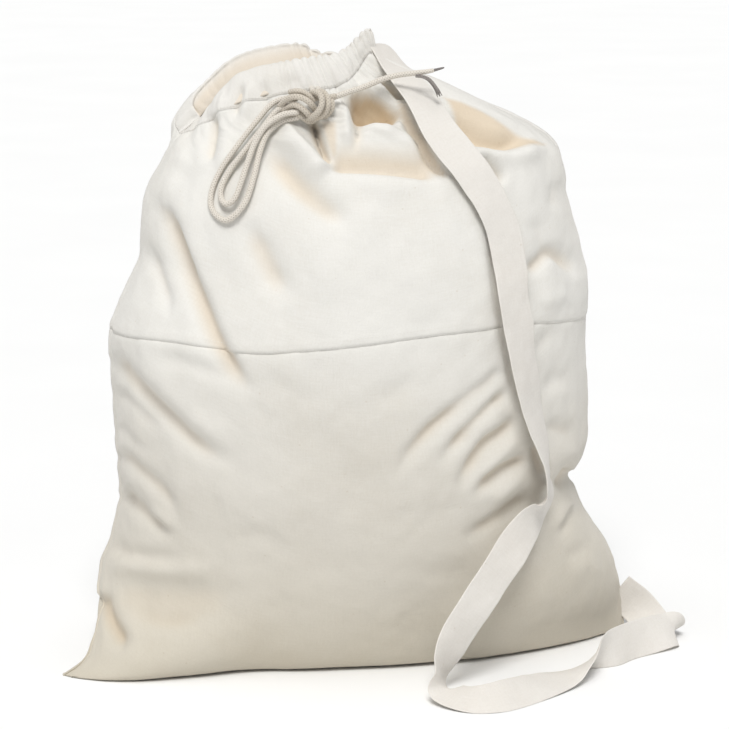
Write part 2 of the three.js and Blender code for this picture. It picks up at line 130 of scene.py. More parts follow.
def cotton(name, base, dark, weave=0.62, bump=0.35, floor_shade=True, rough=0.93, sheen=0.25, slub=0.5):
    """Plain woven unbleached cotton: warp and weft from the cloth's own measure, slubs,
    flecks of seed husk, slow tone changes and painted shade that greys it towards the floor."""
    m, N, L = new_material(name)
    out = node(N, "ShaderNodeOutputMaterial")
    bsdf = node(N, "ShaderNodeBsdfPrincipled")
    bsdf.inputs["Roughness"].default_value = rough
    bsdf.inputs["Specular IOR Level"].default_value = 0.18
    bsdf.inputs["Sheen Weight"].default_value = sheen
    bsdf.inputs["Sheen Roughness"].default_value = 0.45
    bsdf.inputs["Sheen Tint"].default_value = (1.0, 0.97, 0.93, 1)
    L.new(bsdf.outputs[0], out.inputs[0])
    att = node(N, "ShaderNodeAttribute", attribute_name="cloth_xy")
    sep = node(N, "ShaderNodeSeparateXYZ")
    L.new(att.outputs["Vector"], sep.inputs[0])
    U, V = sep.outputs[0], sep.outputs[1]
    # threads wander a little
    wander = node(N, "ShaderNodeTexNoise")
    wander.inputs["Scale"].default_value = 90.0
    wander.inputs["Detail"].default_value = 2.0
    L.new(att.outputs["Vector"], wander.inputs["Vector"])
    wob = math_node(N, L, "MULTIPLY", wander.outputs[0], 0.0009)
    k = 2 * math.pi / (weave / 1000.0)
    wu = math_node(N, L, "SINE", math_node(N, L, "MULTIPLY", math_node(N, L, "ADD", U, wob), k))
    wv = math_node(N, L, "SINE", math_node(N, L, "MULTIPLY", math_node(N, L, "ADD", V, wob), k * 0.93))
    check = math_node(N, L, "MULTIPLY", wu, wv)
    # slubs: streaks along warp and weft
    def streak(su, sv, scale, seed):
        comb = node(N, "ShaderNodeCombineXYZ")
        L.new(math_node(N, L, "MULTIPLY", U, su), comb.inputs[0])
        L.new(math_node(N, L, "MULTIPLY", V, sv), comb.inputs[1])
        comb.inputs[2].default_value = seed
        t = node(N, "ShaderNodeTexNoise")
        t.inputs["Scale"].default_value = scale
        t.inputs["Detail"].default_value = 3.0
        t.inputs["Roughness"].default_value = 0.6
        L.new(comb.outputs[0], t.inputs["Vector"])
        return t.outputs[0]
    warp = streak(1.0, 0.10, 700.0, 1.3)
    weft = streak(0.08, 1.0, 620.0, 4.1)
    slubs = math_node(N, L, "ADD", warp, weft)
    grain = node(N, "ShaderNodeTexNoise")
    grain.inputs["Scale"].default_value = 420.0
    grain.inputs["Detail"].default_value = 4.0
    L.new(att.outputs["Vector"], grain.inputs["Vector"])
    tone = node(N, "ShaderNodeTexNoise")
    tone.inputs["Scale"].default_value = 7.0
    tone.inputs["Detail"].default_value = 3.0
    L.new(att.outputs["Vector"], tone.inputs["Vector"])
    # base colour
    mixf = math_node(N, L, "ADD", math_node(N, L, "MULTIPLY", slubs, 0.5 * slub),
                     math_node(N, L, "MULTIPLY", tone.outputs[0], 0.5))
    col = ramp(N, L, mixf, [(0.30, dark), (0.52, base), (0.75, tuple(min(1, c * 1.035) for c in base))])
    # husk flecks
    vor = node(N, "ShaderNodeTexVoronoi")
    vor.inputs["Scale"].default_value = 55.0
    L.new(att.outputs["Vector"], vor.inputs["Vector"])
    fleck = ramp(N, L, vor.outputs["Distance"], [(0.0, (1, 1, 1)), (0.035, (1, 1, 1)), (0.06, (0, 0, 0))])
    fleckmix = node(N, "ShaderNodeMix", data_type="RGBA")
    L.new(math_node(N, L, "MULTIPLY", fleck, 0.20), fleckmix.inputs[0])
    L.new(col, fleckmix.inputs[6])
    fleckmix.inputs[7].default_value = (0.50, 0.38, 0.25, 1)
    colour = fleckmix.outputs[2]
    # light that has gone back and forth in a deep fold comes out warmer
    deep = node(N, "ShaderNodeAttribute", attribute_name="hollow")
    warm = node(N, "ShaderNodeMix", data_type="RGBA", blend_type="MULTIPLY")
    L.new(deep.outputs["Fac"], warm.inputs[0])
    L.new(colour, warm.inputs[6])
    warm.inputs[7].default_value = (0.90, 0.74, 0.55, 1)
    colour = warm.outputs[2]
    # painted shade: by height, the colour is multiplied darker and warmer low down, for the shade near the floor
    if floor_shade:
        g = node(N, "ShaderNodeAttribute", attribute_name="rest_z")
        wobz = math_node(N, L, "ADD", g.outputs["Fac"], math_node(N, L, "MULTIPLY", tone.outputs[0], 0.10))
        low = ramp(N, L, wobz, [(0.05, FLOOR_SHADE_LOW), (0.22, FLOOR_SHADE_MID), (0.42, (1, 1, 1))])
        mul = node(N, "ShaderNodeMix", data_type="RGBA", blend_type="MULTIPLY")
        mul.inputs[0].default_value = 1.0
        L.new(colour, mul.inputs[6])
        L.new(low, mul.inputs[7])
        colour = mul.outputs[2]
    # fuzz in the hollows of the weave reads a touch darker
    shade = node(N, "ShaderNodeMix", data_type="RGBA", blend_type="MULTIPLY")
    shade.inputs[0].default_value = 1.0
    L.new(colour, shade.inputs[6])
    L.new(ramp(N, L, math_node(N, L, "ADD", math_node(N, L, "MULTIPLY", check, 0.25), math_node(N, L, "MULTIPLY", grain.outputs[0], 0.9)),
               [(0.10, (0.94, 0.935, 0.925)), (0.75, (1.0, 1.0, 1.0))]), shade.inputs[7])
    L.new(shade.outputs[2], bsdf.inputs["Base Color"])
    height = math_node(N, L, "ADD", math_node(N, L, "MULTIPLY", check, 0.30), math_node(N, L, "MULTIPLY", slubs, 1.1))
    height = math_node(N, L, "ADD", height, math_node(N, L, "MULTIPLY", grain.outputs[0], 0.8))
    b = node(N, "ShaderNodeBump")
    b.inputs["Strength"].default_value = bump
    b.inputs["Distance"].default_value = 0.00035
    L.new(height, b.inputs["Height"])
    L.new(b.outputs[0], bsdf.inputs["Normal"])
    return m


# painted shade near the floor: the colours the cloth is multiplied by, lowest first
FLOOR_SHADE_LOW = (0.76, 0.715, 0.63)
FLOOR_SHADE_MID = (0.885, 0.86, 0.82)
COTTON_BASE = (0.795, 0.78, 0.74)
COTTON_DARK = (0.745, 0.72, 0.665)
mat_cloth = cotton("cotton_cloth_plain_weave", COTTON_BASE, COTTON_DARK)
mat_hem = cotton("cotton_cloth_hem", (0.80, 0.78, 0.74), (0.75, 0.72, 0.66), floor_shade=False, bump=0.4)
mat_tape = cotton("cotton_tape_weave", (0.79, 0.76, 0.715), (0.745, 0.705, 0.65), weave=0.8, bump=0.5, floor_shade=False, sheen=0.2, slub=0.45)


def cord_material(name, light, dark, rough=0.9, fibre=0.5):
    """Braided cotton cord: strand height from the braid darkens the grooves as painted shade."""
    m, N, L = new_material(name)
    out = node(N, "ShaderNodeOutputMaterial")
    bsdf = node(N, "ShaderNodeBsdfPrincipled")
    bsdf.inputs["Roughness"].default_value = rough
    bsdf.inputs["Specular IOR Level"].default_value = 0.2
    bsdf.inputs["Sheen Weight"].default_value = 0.3
    bsdf.inputs["Sheen Roughness"].default_value = 0.5
    L.new(bsdf.outputs[0], out.inputs[0])
    h = node(N, "ShaderNodeAttribute", attribute_name="strand")
    xy = node(N, "ShaderNodeAttribute", attribute_name="cloth_xy")
    fib = node(N, "ShaderNodeTexNoise")
    fib.inputs["Scale"].default_value = 900.0
    fib.inputs["Detail"].default_value = 3.0
    L.new(xy.outputs["Vector"], fib.inputs["Vector"])
    slow = node(N, "ShaderNodeTexNoise")
    slow.inputs["Scale"].default_value = 60.0
    L.new(xy.outputs["Vector"], slow.inputs["Vector"])
    f = math_node(N, L, "ADD", math_node(N, L, "MULTIPLY", h.outputs["Fac"], 0.62), math_node(N, L, "MULTIPLY", fib.outputs[0], 0.30))
    f = math_node(N, L, "ADD", f, math_node(N, L, "MULTIPLY", slow.outputs[0], 0.14))
    # painted shade: low strand height, the braid's grooves, takes the dark colour
    col = ramp(N, L, f, [(0.22, dark), (0.60, light), (0.95, tuple(min(1, c * 1.06) for c in light))])
    L.new(col, bsdf.inputs["Base Color"])
    b = node(N, "ShaderNodeBump")
    b.inputs["Strength"].default_value = fibre
    b.inputs["Distance"].default_value = 0.0004
    L.new(math_node(N, L, "ADD", fib.outputs[0], math_node(N, L, "MULTIPLY", h.outputs["Fac"], 0.6)), b.inputs["Height"])
    L.new(b.outputs[0], bsdf.inputs["Normal"])
    return m


mat_cord = cord_material("cotton_cord_braid", (0.70, 0.655, 0.585), (0.36, 0.31, 0.25))
# painted shade: the knot is the same cord as the bow, coloured darker for the shade between its turns
mat_knot_shaded = cord_material("cotton_cord_knot_painted_shade", (0.60, 0.545, 0.465), (0.25, 0.205, 0.155))
mat_tip = cord_material("cord_tip_grey", (0.22, 0.20, 0.19), (0.07, 0.06, 0.055), rough=0.75)
# painted shade: the frayed end is the same cream cord, coloured grey for the shade it lies in beside the strap
mat_fray_shaded = cord_material("cord_frayed_end_painted_shade", (0.34, 0.31, 0.29), (0.10, 0.085, 0.08), rough=0.9)
mat_thread = cord_material("sewing_thread", (0.77, 0.745, 0.70), (0.66, 0.625, 0.57), rough=0.7)


# ---------------------------------------------------------------------------
# mesh helpers
# ---------------------------------------------------------------------------
def make_object(name, verts_mm, faces, material, attrs=None, weld=0.0):
    me = bpy.data.meshes.new(name)
    v = np.asarray(verts_mm, float) / 1000.0
    me.from_pydata([tuple(p) for p in v], [], [tuple(int(i) for i in f) for f in faces])
    for key, data in (attrs or {}).items():
        data = np.asarray(data, np.float32)
        if data.ndim == 1:
            a = me.attributes.new(key, "FLOAT", "POINT")
            a.data.foreach_set("value", data)
        else:
            a = me.attributes.new(key, "FLOAT_VECTOR", "POINT")
            a.data.foreach_set("vector", data.ravel())
    if weld:
        import bmesh
        bm = bmesh.new()
        bm.from_mesh(me)
        bmesh.ops.remove_doubles(bm, verts=bm.verts, dist=weld / 1000.0)
        bm.to_mesh(me)
        bm.free()
    me.polygons.foreach_set("use_smooth", [True] * len(me.polygons))
    me.validate()
    me.update()
    o = bpy.data.objects.new(name, me)
    scene.collection.objects.link(o)
    me.materials.append(material)
    return o


def smoothstep(a, b, x):
    t = np.clip((x - a) / (b - a), 0, 1)
    return t * t * (3 - 2 * t)


def unit(v):
    v = np.asarray(v, float)
    return v / np.maximum(np.linalg.norm(v, axis=-1, keepdims=True), 1e-9)


def catmull(points, n, closed=False):
    """n points evenly spaced along a smooth line through the given points (any width)."""
    p = np.asarray(points, float)
    seg = np.linalg.norm(np.diff(p[:, :3], axis=0), axis=1) ** 0.5
    t = np.concatenate([[0], np.cumsum(seg)])
    dense_t = np.linspace(0, t[-1], max(n * 6, 400))
    m = np.zeros_like(p)
    for i in range(len(p)):
        a, b = max(0, i - 1), min(len(p) - 1, i + 1)
        m[i] = (p[b] - p[a]) / (t[b] - t[a])
    out = np.zeros((len(dense_t), p.shape[1]))
    k = np.clip(np.searchsorted(t, dense_t, side="right") - 1, 0, len(p) - 2)
    h = (t[k + 1] - t[k])[:, None]
    s = ((dense_t - t[k])[:, None]) / h
    out = ((2 * s**3 - 3 * s**2 + 1) * p[k] + (s**3 - 2 * s**2 + s) * h * m[k]
           + (-2 * s**3 + 3 * s**2) * p[k + 1] + (s**3 - s**2) * h * m[k + 1])
    d = np.concatenate([[0], np.cumsum(np.linalg.norm(np.diff(out[:, :3], axis=0), axis=1))])
    want = np.linspace(0, d[-1], n)
    return np.stack([np.interp(want, d, out[:, c]) for c in range(out.shape[1])], -1)


def line_length(p):
    return float(np.linalg.norm(np.diff(np.asarray(p, float)[:, :3], axis=0), axis=1).sum())


def gauss(a, sigma, axis):
    """Gaussian smoothing of an array along one axis, ends held."""
    r = int(3 * sigma + 1)
    k = np.exp(-0.5 * (np.arange(-r, r + 1) / sigma) ** 2)
    k /= k.sum()
    a = np.moveaxis(a, axis, 0)
    first, last = a[:1], a[-1:]
    pad = np.concatenate([2 * first - a[r:0:-1], a, 2 * last - a[-2:-r - 2:-1]], 0)
    out = sum(k[i] * pad[i:i + len(a)] for i in range(len(k)))
    return np.moveaxis(out, 0, axis)


def grid_normals(P):
    du = np.gradient(P, axis=1)
    dv = np.gradient(P, axis=0)
    return unit(np.cross(du, dv))


def frames(path):
    """Tangent and two carried normals along a path."""
    t = unit(np.gradient(path, axis=0))
    n = np.zeros_like(t)
    ref = np.array([0, 0, 1.0]) if abs(t[0][2]) < 0.9 else np.array([1.0, 0, 0])
    n[0] = unit(np.cross(t[0], ref))
    for i in range(1, len(t)):
        v = n[i - 1] - t[i] * (n[i - 1] @ t[i])
        n[i] = unit(v)
    return t, n, np.cross(t, n)


def tube(path, radius, sides=20, braid=0.0, pitch=12.0, strands=4, phase=0.0, round_ends=True):
    """Verts, faces and strand height of a braided tube round the path. radius may vary."""
    path = np.asarray(path, float)
    n = len(path)
    r = np.full(n, float(radius)) if np.isscalar(radius) else np.asarray(radius, float)
    t, a, b = frames(path)
    s = np.concatenate([[0], np.cumsum(np.linalg.norm(np.diff(path, axis=0), axis=1))])
    th = np.arange(sides) / sides * 2 * np.pi
    S, T = np.meshgrid(s, th, indexing="ij")
    w = 2 * np.pi / pitch
    p1 = np.cos(strands * (T + w * S) + phase)
    p2 = np.cos(strands * (T - w * S) + phase)
    over = np.sin(2 * strands * T + phase) * 0.5
    h = np.maximum(p1 + 0.35 * over, p2 - 0.35 * over)
    h = np.clip(h, -1, 1.2)
    R = r[:, None] * (1 + braid * (h - 0.55))
    ring = path[:, None, :] + R[..., None] * (np.cos(T)[..., None] * a[:, None, :] + np.sin(T)[..., None] * b[:, None, :])
    V = ring.reshape(-1, 3)
    H = (h * 0.5 + 0.5).reshape(-1)
    XY = np.stack([T.ravel() * r.mean() / 1000, S.ravel() / 1000, np.zeros(T.size)], -1)
    F = []
    for i in range(n - 1):
        for k in range(sides):
            m = (k + 1) % sides
            F.append((i * sides + k, i * sides + m, (i + 1) * sides + m, (i + 1) * sides + k))
    V, H, XY = list(V), list(H), list(XY)
    for end, sign in ((0, -1), (n - 1, 1)):
        base = end * sides
        prev = list(range(base, base + sides))
        steps = (0.55, 0.85) if round_ends else ()
        for q in steps:
            rr = r[end] * math.sqrt(max(0, 1 - q * q))
            new = []
            for k in range(sides):
                p = path[end] + sign * t[end] * r[end] * q * 0.8 + rr * (math.cos(th[k]) * a[end] + math.sin(th[k]) * b[end])
                V.append(p); H.append(0.5); XY.append((0, s[end] / 1000, 0)); new.append(len(V) - 1)
            for k in range(sides):
                m = (k + 1) % sides
                f = (prev[k], prev[m], new[m], new[k])
                F.append(f if sign > 0 else f[::-1])
            prev = new
        V.append(path[end] + sign * t[end] * r[end] * (0.8 if round_ends else 0.02)); H.append(0.5); XY.append((0, s[end] / 1000, 0))
        c = len(V) - 1
        for k in range(sides):
            m = (k + 1) % sides
            f = (prev[k], prev[m], c)
            F.append(f if sign > 0 else f[::-1])
    return np.array(V), F, np.array(H), np.array(XY)


def tube_object(name, parts, material):
    """One mesh object from several tubes."""
    V, F, H, XY, base = [], [], [], [], 0
    for v, f, h, xy in parts:
        V.append(v); H.append(h); XY.append(xy)
        F += [tuple(i + base for i in face) for face in f]
        base += len(v)
    return make_object(name, np.concatenate(V), F, material,
                       {"strand": np.concatenate(H), "cloth_xy": np.concatenate(XY)})


def wrinkle_field(x, y, wavelengths, amps, seed, stretch=1.0):
    """Smooth deterministic crumple: a few crossing waves at each wavelength."""
    g = np.random.default_rng(seed)
    out = np.zeros_like(x)
    for wl, a in zip(wavelengths, amps):
        acc = np.zeros_like(x)
        for _ in range(7):
            ang = g.uniform(0, np.pi)
            k = 2 * np.pi / (wl * g.uniform(0.7, 1.4))
            ph = g.uniform(0, 2 * np.pi)
            wob = 0.6 * np.sin(2 * np.pi * (x * g.uniform(-1, 1) + y * g.uniform(-1, 1)) / (wl * 3.1) + g.uniform(0, 6))
            acc += np.sin(k * (x * np.cos(ang) + y * np.sin(ang) * stretch) + ph + 2 * wob)
        out += a * acc / 2.6
    return out

# ---------------------------------------------------------------------------
# the cloth: outline of the filled bag
# ---------------------------------------------------------------------------
SIDE_Y = 12.0
SEAM_Z = 333.0
POWER = 2.2
OUTLINE = np.array([
    [0, -296, 286, 88, 80, 0.80], [12, -273, 285, 97, 90, 0.72],
    [35, -263, 282, 107, 100, 0.65], [55, -262, 278, 114, 107, 0.60],
    [77, -257, 272, 120, 113, 0.57], [98, -251, 263, 126, 118, 0.55],
    [120, -242, 249, 131, 122, 0.54], [142, -236, 235, 136, 126, 0.53],
    [163, -233, 227, 140, 130, 0.52], [175, -233, 226, 142, 132, 0.51],
    [188, -235, 234, 144, 133, 0.50], [208, -237, 240, 146, 134, 0.50],
    [250, -239, 240, 150, 136, 0.50], [292, -241, 237, 152, 138, 0.50],
    [333, -240, 236, 152, 138, 0.50], [362, -229, 239, 149, 135, 0.50],
    [382, -219, 238, 146, 132, 0.50], [404, -209, 230, 142, 128, 0.50],
    [432, -206.8, 223, 134, 120, 0.50], [460, -205, 216, 124, 110, 0.50],
    [480, -197, 213, 115, 102, 0.50], [500, -184, 209, 104, 93, 0.50],
    [515, -180, 197, 94, 85, 0.50], [530, -176, 168, 82, 75, 0.50],
], float)
table_z = np.arange(0.0, 531.0, 1.0)
table = np.stack([np.interp(table_z, OUTLINE[:, 0], OUTLINE[:, c]) for c in range(1, 6)], -1)
edge_soft = gauss(table[:, :2], 3.0, 0)
table[:, 2:] = gauss(table[:, 2:], 9.0, 0)
table[:, :2] = edge_soft
table[0, :2] = (-296, 286)


def outline_at(z):
    return [np.interp(z, table_z, table[:, c]) for c in range(5)]


# the seam between the panels: position across, rise in front, rise behind
SEAM_RISE = np.array([
    [-1, 0, 0], [-0.85, 5, 1], [-0.75, 6, 2], [-0.6, 2, 2], [-0.45, 0, 3], [-0.3, 3, 3], [-0.1, 7, 4],
    [0.1, 12, 5], [0.3, 16, 5], [0.5, 18, 5], [0.7, 17, 6], [0.85, 12, 6], [1, 6, 6],
], float)


def step(a, b, x):
    t = np.clip((np.asarray(x, float) - a) / (b - a), 0, 1)
    return t * t * (3 - 2 * t)


def seam_rise(u, z, side):
    dense = np.linspace(-1, 1, 201)
    d = np.interp(dense, SEAM_RISE[:, 0], SEAM_RISE[:, 1 if side < 0 else 2])
    g = gauss(d, 5.0, 0)
    g = g + np.interp(dense, [-1, 1], [d[0] - g[0], d[-1] - g[-1]])
    return np.interp(u, dense, g) * step(208, SEAM_Z, z) * (1 - step(SEAM_Z, 460, z))


def wall(u, z, side):
    """Point of the filled bag's wall: u from the left side seam (-1) to the right one (+1)."""
    level = np.asarray(z, float)
    z = level + seam_rise(u, level, side)
    # the lower left corner is pushed forward along the floor
    corner = -76.0 * (1 - step(-1.0, -0.3, u)) * (1 - step(0, 98, level))
    xl, xr, df, db, q = outline_at(z)
    c, h = (xl + xr) / 2, (xr - xl) / 2
    d = df + SIDE_Y if side < 0 else db - SIDE_Y
    bulge = np.maximum(0, 1 - np.abs(u) ** POWER) ** q
    return np.stack([c + h * u, SIDE_Y + corner + side * d * bulge, z + 0 * u], -1)


# the gathered mouth, as it lines up in the front elevation, with its depth
RIM_FRONT = [
    (-152.5, 536.5, 8), (-146.5, 543.5, 3), (-140.5, 552.5, -2), (-134.5, 561.5, -6), (-125.5, 571.5, -10),
    (-115.5, 580, -14), (-102.5, 585, -18), (-90.5, 588.5, -22), (-77.5, 591, -25), (-62.5, 593.5, -27),
    (-47.5, 596, -28), (-32.5, 598, -27), (-19.5, 599.5, -24), (-8.5, 603.5, -20), (-0.5, 609.5, -15),
    (5.5, 616.5, -9), (12.5, 622.5, -4), (18.5, 625, 0),
]
HEM_FRONT = [
    (-171.5, 518.5, 12), (-162.5, 524.5, 0), (-148.5, 532.5, -14), (-132.5, 541.5, -27), (-112.5, 549.5, -36),
    (-90.5, 555.5, -43), (-67.5, 560.5, -47), (-47.5, 563.5, -48), (-29.5, 565.5, -46), (-15.5, 568.5, -41),
    (-4.5, 574.5, -34), (3.5, 584.5, -26), (9.5, 594.5, -18), (15.5, 602.5, -10), (23.5, 598.5, 0),
]
RIM_BACK = [
    (-152.5, 536.5, 8), (-160.5, 546.5, 12), (-160.5, 557.5, 16), (-153.5, 567.5, 20), (-144.5, 576.5, 24),
    (-134.5, 586, 27), (-123.5, 594.5, 30), (-112.5, 600, 32), (-102.5, 603.5, 33), (-90.5, 606.5, 33),
    (-77.5, 609, 33), (-67.5, 610, 33), (-52.5, 610.5, 32), (-43.5, 607.5, 30), (-36.5, 603.5, 27),
    (-26.5, 601.5, 23), (-14.5, 602, 18), (-4.5, 606.5, 14), (5.5, 614, 9), (12.5, 620.5, 4),
    (18.5, 625, 0),
]
HEM_BACK = [
    (-171.5, 518.5, 12), (-178.5, 530.5, 20), (-175.5, 542.5, 30), (-165.5, 553.5, 38), (-151.5, 563.5, 44),
    (-134.5, 569.5, 50), (-112.5, 573.5, 53), (-90.5, 576.5, 54), (-67.5, 578.5, 54), (-47.5, 577.5, 50),
    (-27.5, 575.5, 43), (-7.5, 578.5, 34), (7.5, 584.5, 22), (17.5, 592.5, 10), (23.5, 598.5, 0),
]


def mouth_line(rows, n=400):
    pts = np.array([at_depth(x, z, y) for x, z, y in rows])
    return catmull(pts, n)


def along(line, f):
    k = np.linspace(0, 1, len(line))
    return np.stack([np.interp(f, k, line[:, c]) for c in range(3)], -1)


PHI_KEYS = np.array([-math.pi / 2, -1.0, -0.5, -0.1, 0.4, 0.8, 1.2, math.pi / 2])
# where each part of the front ends up along the gathered mouth
RHO_FRONT = np.array([0.0, 0.13, 0.29, 0.47, 0.68, 0.82, 0.93, 1.0])
RHO_BACK = np.array([0.0, 0.16, 0.34, 0.50, 0.68, 0.82, 0.93, 1.0])
# direction in which the cloth runs into the hem
RUN_FRONT = np.array([(0.65, 0.00, 0.76), (0.35, 0.30, 0.88), (0.05, 0.45, 0.88), (-0.10, 0.50, 0.86), (-0.28, 0.50, 0.82), (-0.55, 0.40, 0.72), (-0.80, 0.22, 0.56), (-0.92, 0.0, 0.39)])
RUN_BACK = np.array([(0.65, 0.00, 0.76), (0.45, -0.30, 0.84), (0.15, -0.45, 0.87), (-0.05, -0.50, 0.86), (-0.28, -0.50, 0.82), (-0.55, -0.40, 0.72), (-0.80, -0.22, 0.56), (-0.92, 0.0, 0.39)])
PULL_LOW = np.array([0.40, 0.42, 0.42, 0.42, 0.38, 0.30, 0.20, 0.15])
PULL_TOP = np.array([0.35, 0.38, 0.40, 0.40, 0.40, 0.38, 0.38, 0.38])
N_BASE, N_WALL1, N_WALL2, N_TOP, N_HEM, N_IN = 10, 111, 56, 46, 13, 16


def at_phi(phi, keys):
    keys = np.asarray(keys, float)
    dense = np.linspace(-math.pi / 2, math.pi / 2, 181)
    if keys.ndim == 1:
        d = gauss(np.interp(dense, PHI_KEYS, keys), 6.0, 0)
        d = d + np.interp(dense, [dense[0], dense[-1]], [keys[0] - d[0], keys[-1] - d[-1]])
        return np.interp(phi, dense, d)
    return np.stack([at_phi(phi, keys[:, c]) for c in range(keys.shape[1])], -1)


def base_surface(side, columns):
    """Smooth grid of one side of the bag, from the bottom seam over the wall to the inside of the hem."""
    phi = np.linspace(-math.pi / 2, math.pi / 2, columns + 1)
    u = np.sin(phi)
    rows, kinds = [], []
    z1 = np.concatenate([np.linspace(0, SEAM_Z, N_WALL1 + 1), np.linspace(SEAM_Z, 500, N_WALL2 + 1)[1:]])
    first = wall(u, 0.0 * u, side)
    seam = SIDE_Y - 76.0 * (1 - step(-1.0, -0.3, u))
    for i in range(N_BASE):
        f = i / N_BASE
        r = first.copy()
        r[:, 1] = seam + (first[:, 1] - seam) * f
        rows.append(r)
    for z in z1:
        rows.append(wall(u, z + 0 * u, side))
    rim = mouth_line(RIM_FRONT if side < 0 else RIM_BACK)
    hem = mouth_line(HEM_FRONT if side < 0 else HEM_BACK)
    rho = at_phi(phi, RHO_FRONT if side < 0 else RHO_BACK)
    R, H = along(rim, rho), along(hem, rho)
    S = rows[-1]
    up = unit(rows[-1] - rows[-5])
    run = unit(at_phi(phi, RUN_FRONT if side < 0 else RUN_BACK))
    reach = np.linalg.norm(H - S, axis=1)[:, None]
    P1 = S + up * reach * at_phi(phi, PULL_LOW)[:, None]
    P2 = H - run * reach * at_phi(phi, PULL_TOP)[:, None]
    for i in range(1, N_TOP + 1):
        t = i / N_TOP
        rows.append((1 - t)**3 * S + 3 * (1 - t)**2 * t * P1 + 3 * (1 - t) * t * t * P2 + t**3 * H)
    out = unit(np.cross(np.gradient(R, axis=0), R - H)) * (1 if side < 0 else -1)
    for i in range(1, N_HEM + 1):
        t = i / N_HEM
        rows.append(H + (R - H) * t + out * (1.3 * math.sin(math.pi * t)))
    # over the rim and down inside; behind, the loose cloth falls forward and shuts the mouth
    inward = -out
    if side > 0:
        front_rim = mouth_line(RIM_FRONT)
        front_hem = mouth_line(HEM_FRONT)
        k = at_phi(phi, RHO_BACK)
        FR, FH = along(front_rim, k), along(front_hem, k)
        shut = FR + (FH - FR) * 0.30 + np.array([0.0, 5.5, 0.0])
    for i in range(1, N_IN + 1):
        t = i / N_IN
        a = min(1.0, t * 4) * math.pi
        drop = max(0.0, (t - 0.25) / 0.75)
        top = R + inward * (1.6 - 1.6 * math.cos(a)) + unit(R - H) * (1.4 * math.sin(a))
        if side > 0:
            goal = top + (shut - top) * drop
            goal[:, 2] -= 5.0 * math.sin(math.pi * min(1.0, drop * 1.15)) * np.sin(np.pi * np.clip(k, 0, 1)) ** 0.5
            rows.append(goal)
        else:
            rows.append(top + (H - R) * drop * 0.86 + inward * (1.5 * math.sin(math.pi * drop)))
    P = np.array(rows)
    # ease the fold at the floor and the change from wall to mouth
    soft = gauss(P, 1.6, 0)
    w = np.zeros(len(P))
    lo = N_BASE
    w[lo - 5:lo + 7] = 1.0
    mid = N_BASE + N_WALL1 + N_WALL2
    w[mid - 12:mid + 12] = 1.0
    h0 = mid + N_TOP
    w[h0 - 6:h0 + 7] = 1.0
    w = gauss(w, 1.5, 0)[:, None, None]
    P = P * (1 - w) + soft * w
    P[:N_BASE, :, 2] = np.maximum(P[:N_BASE, :, 2], 0.9)
    return P, phi, rho


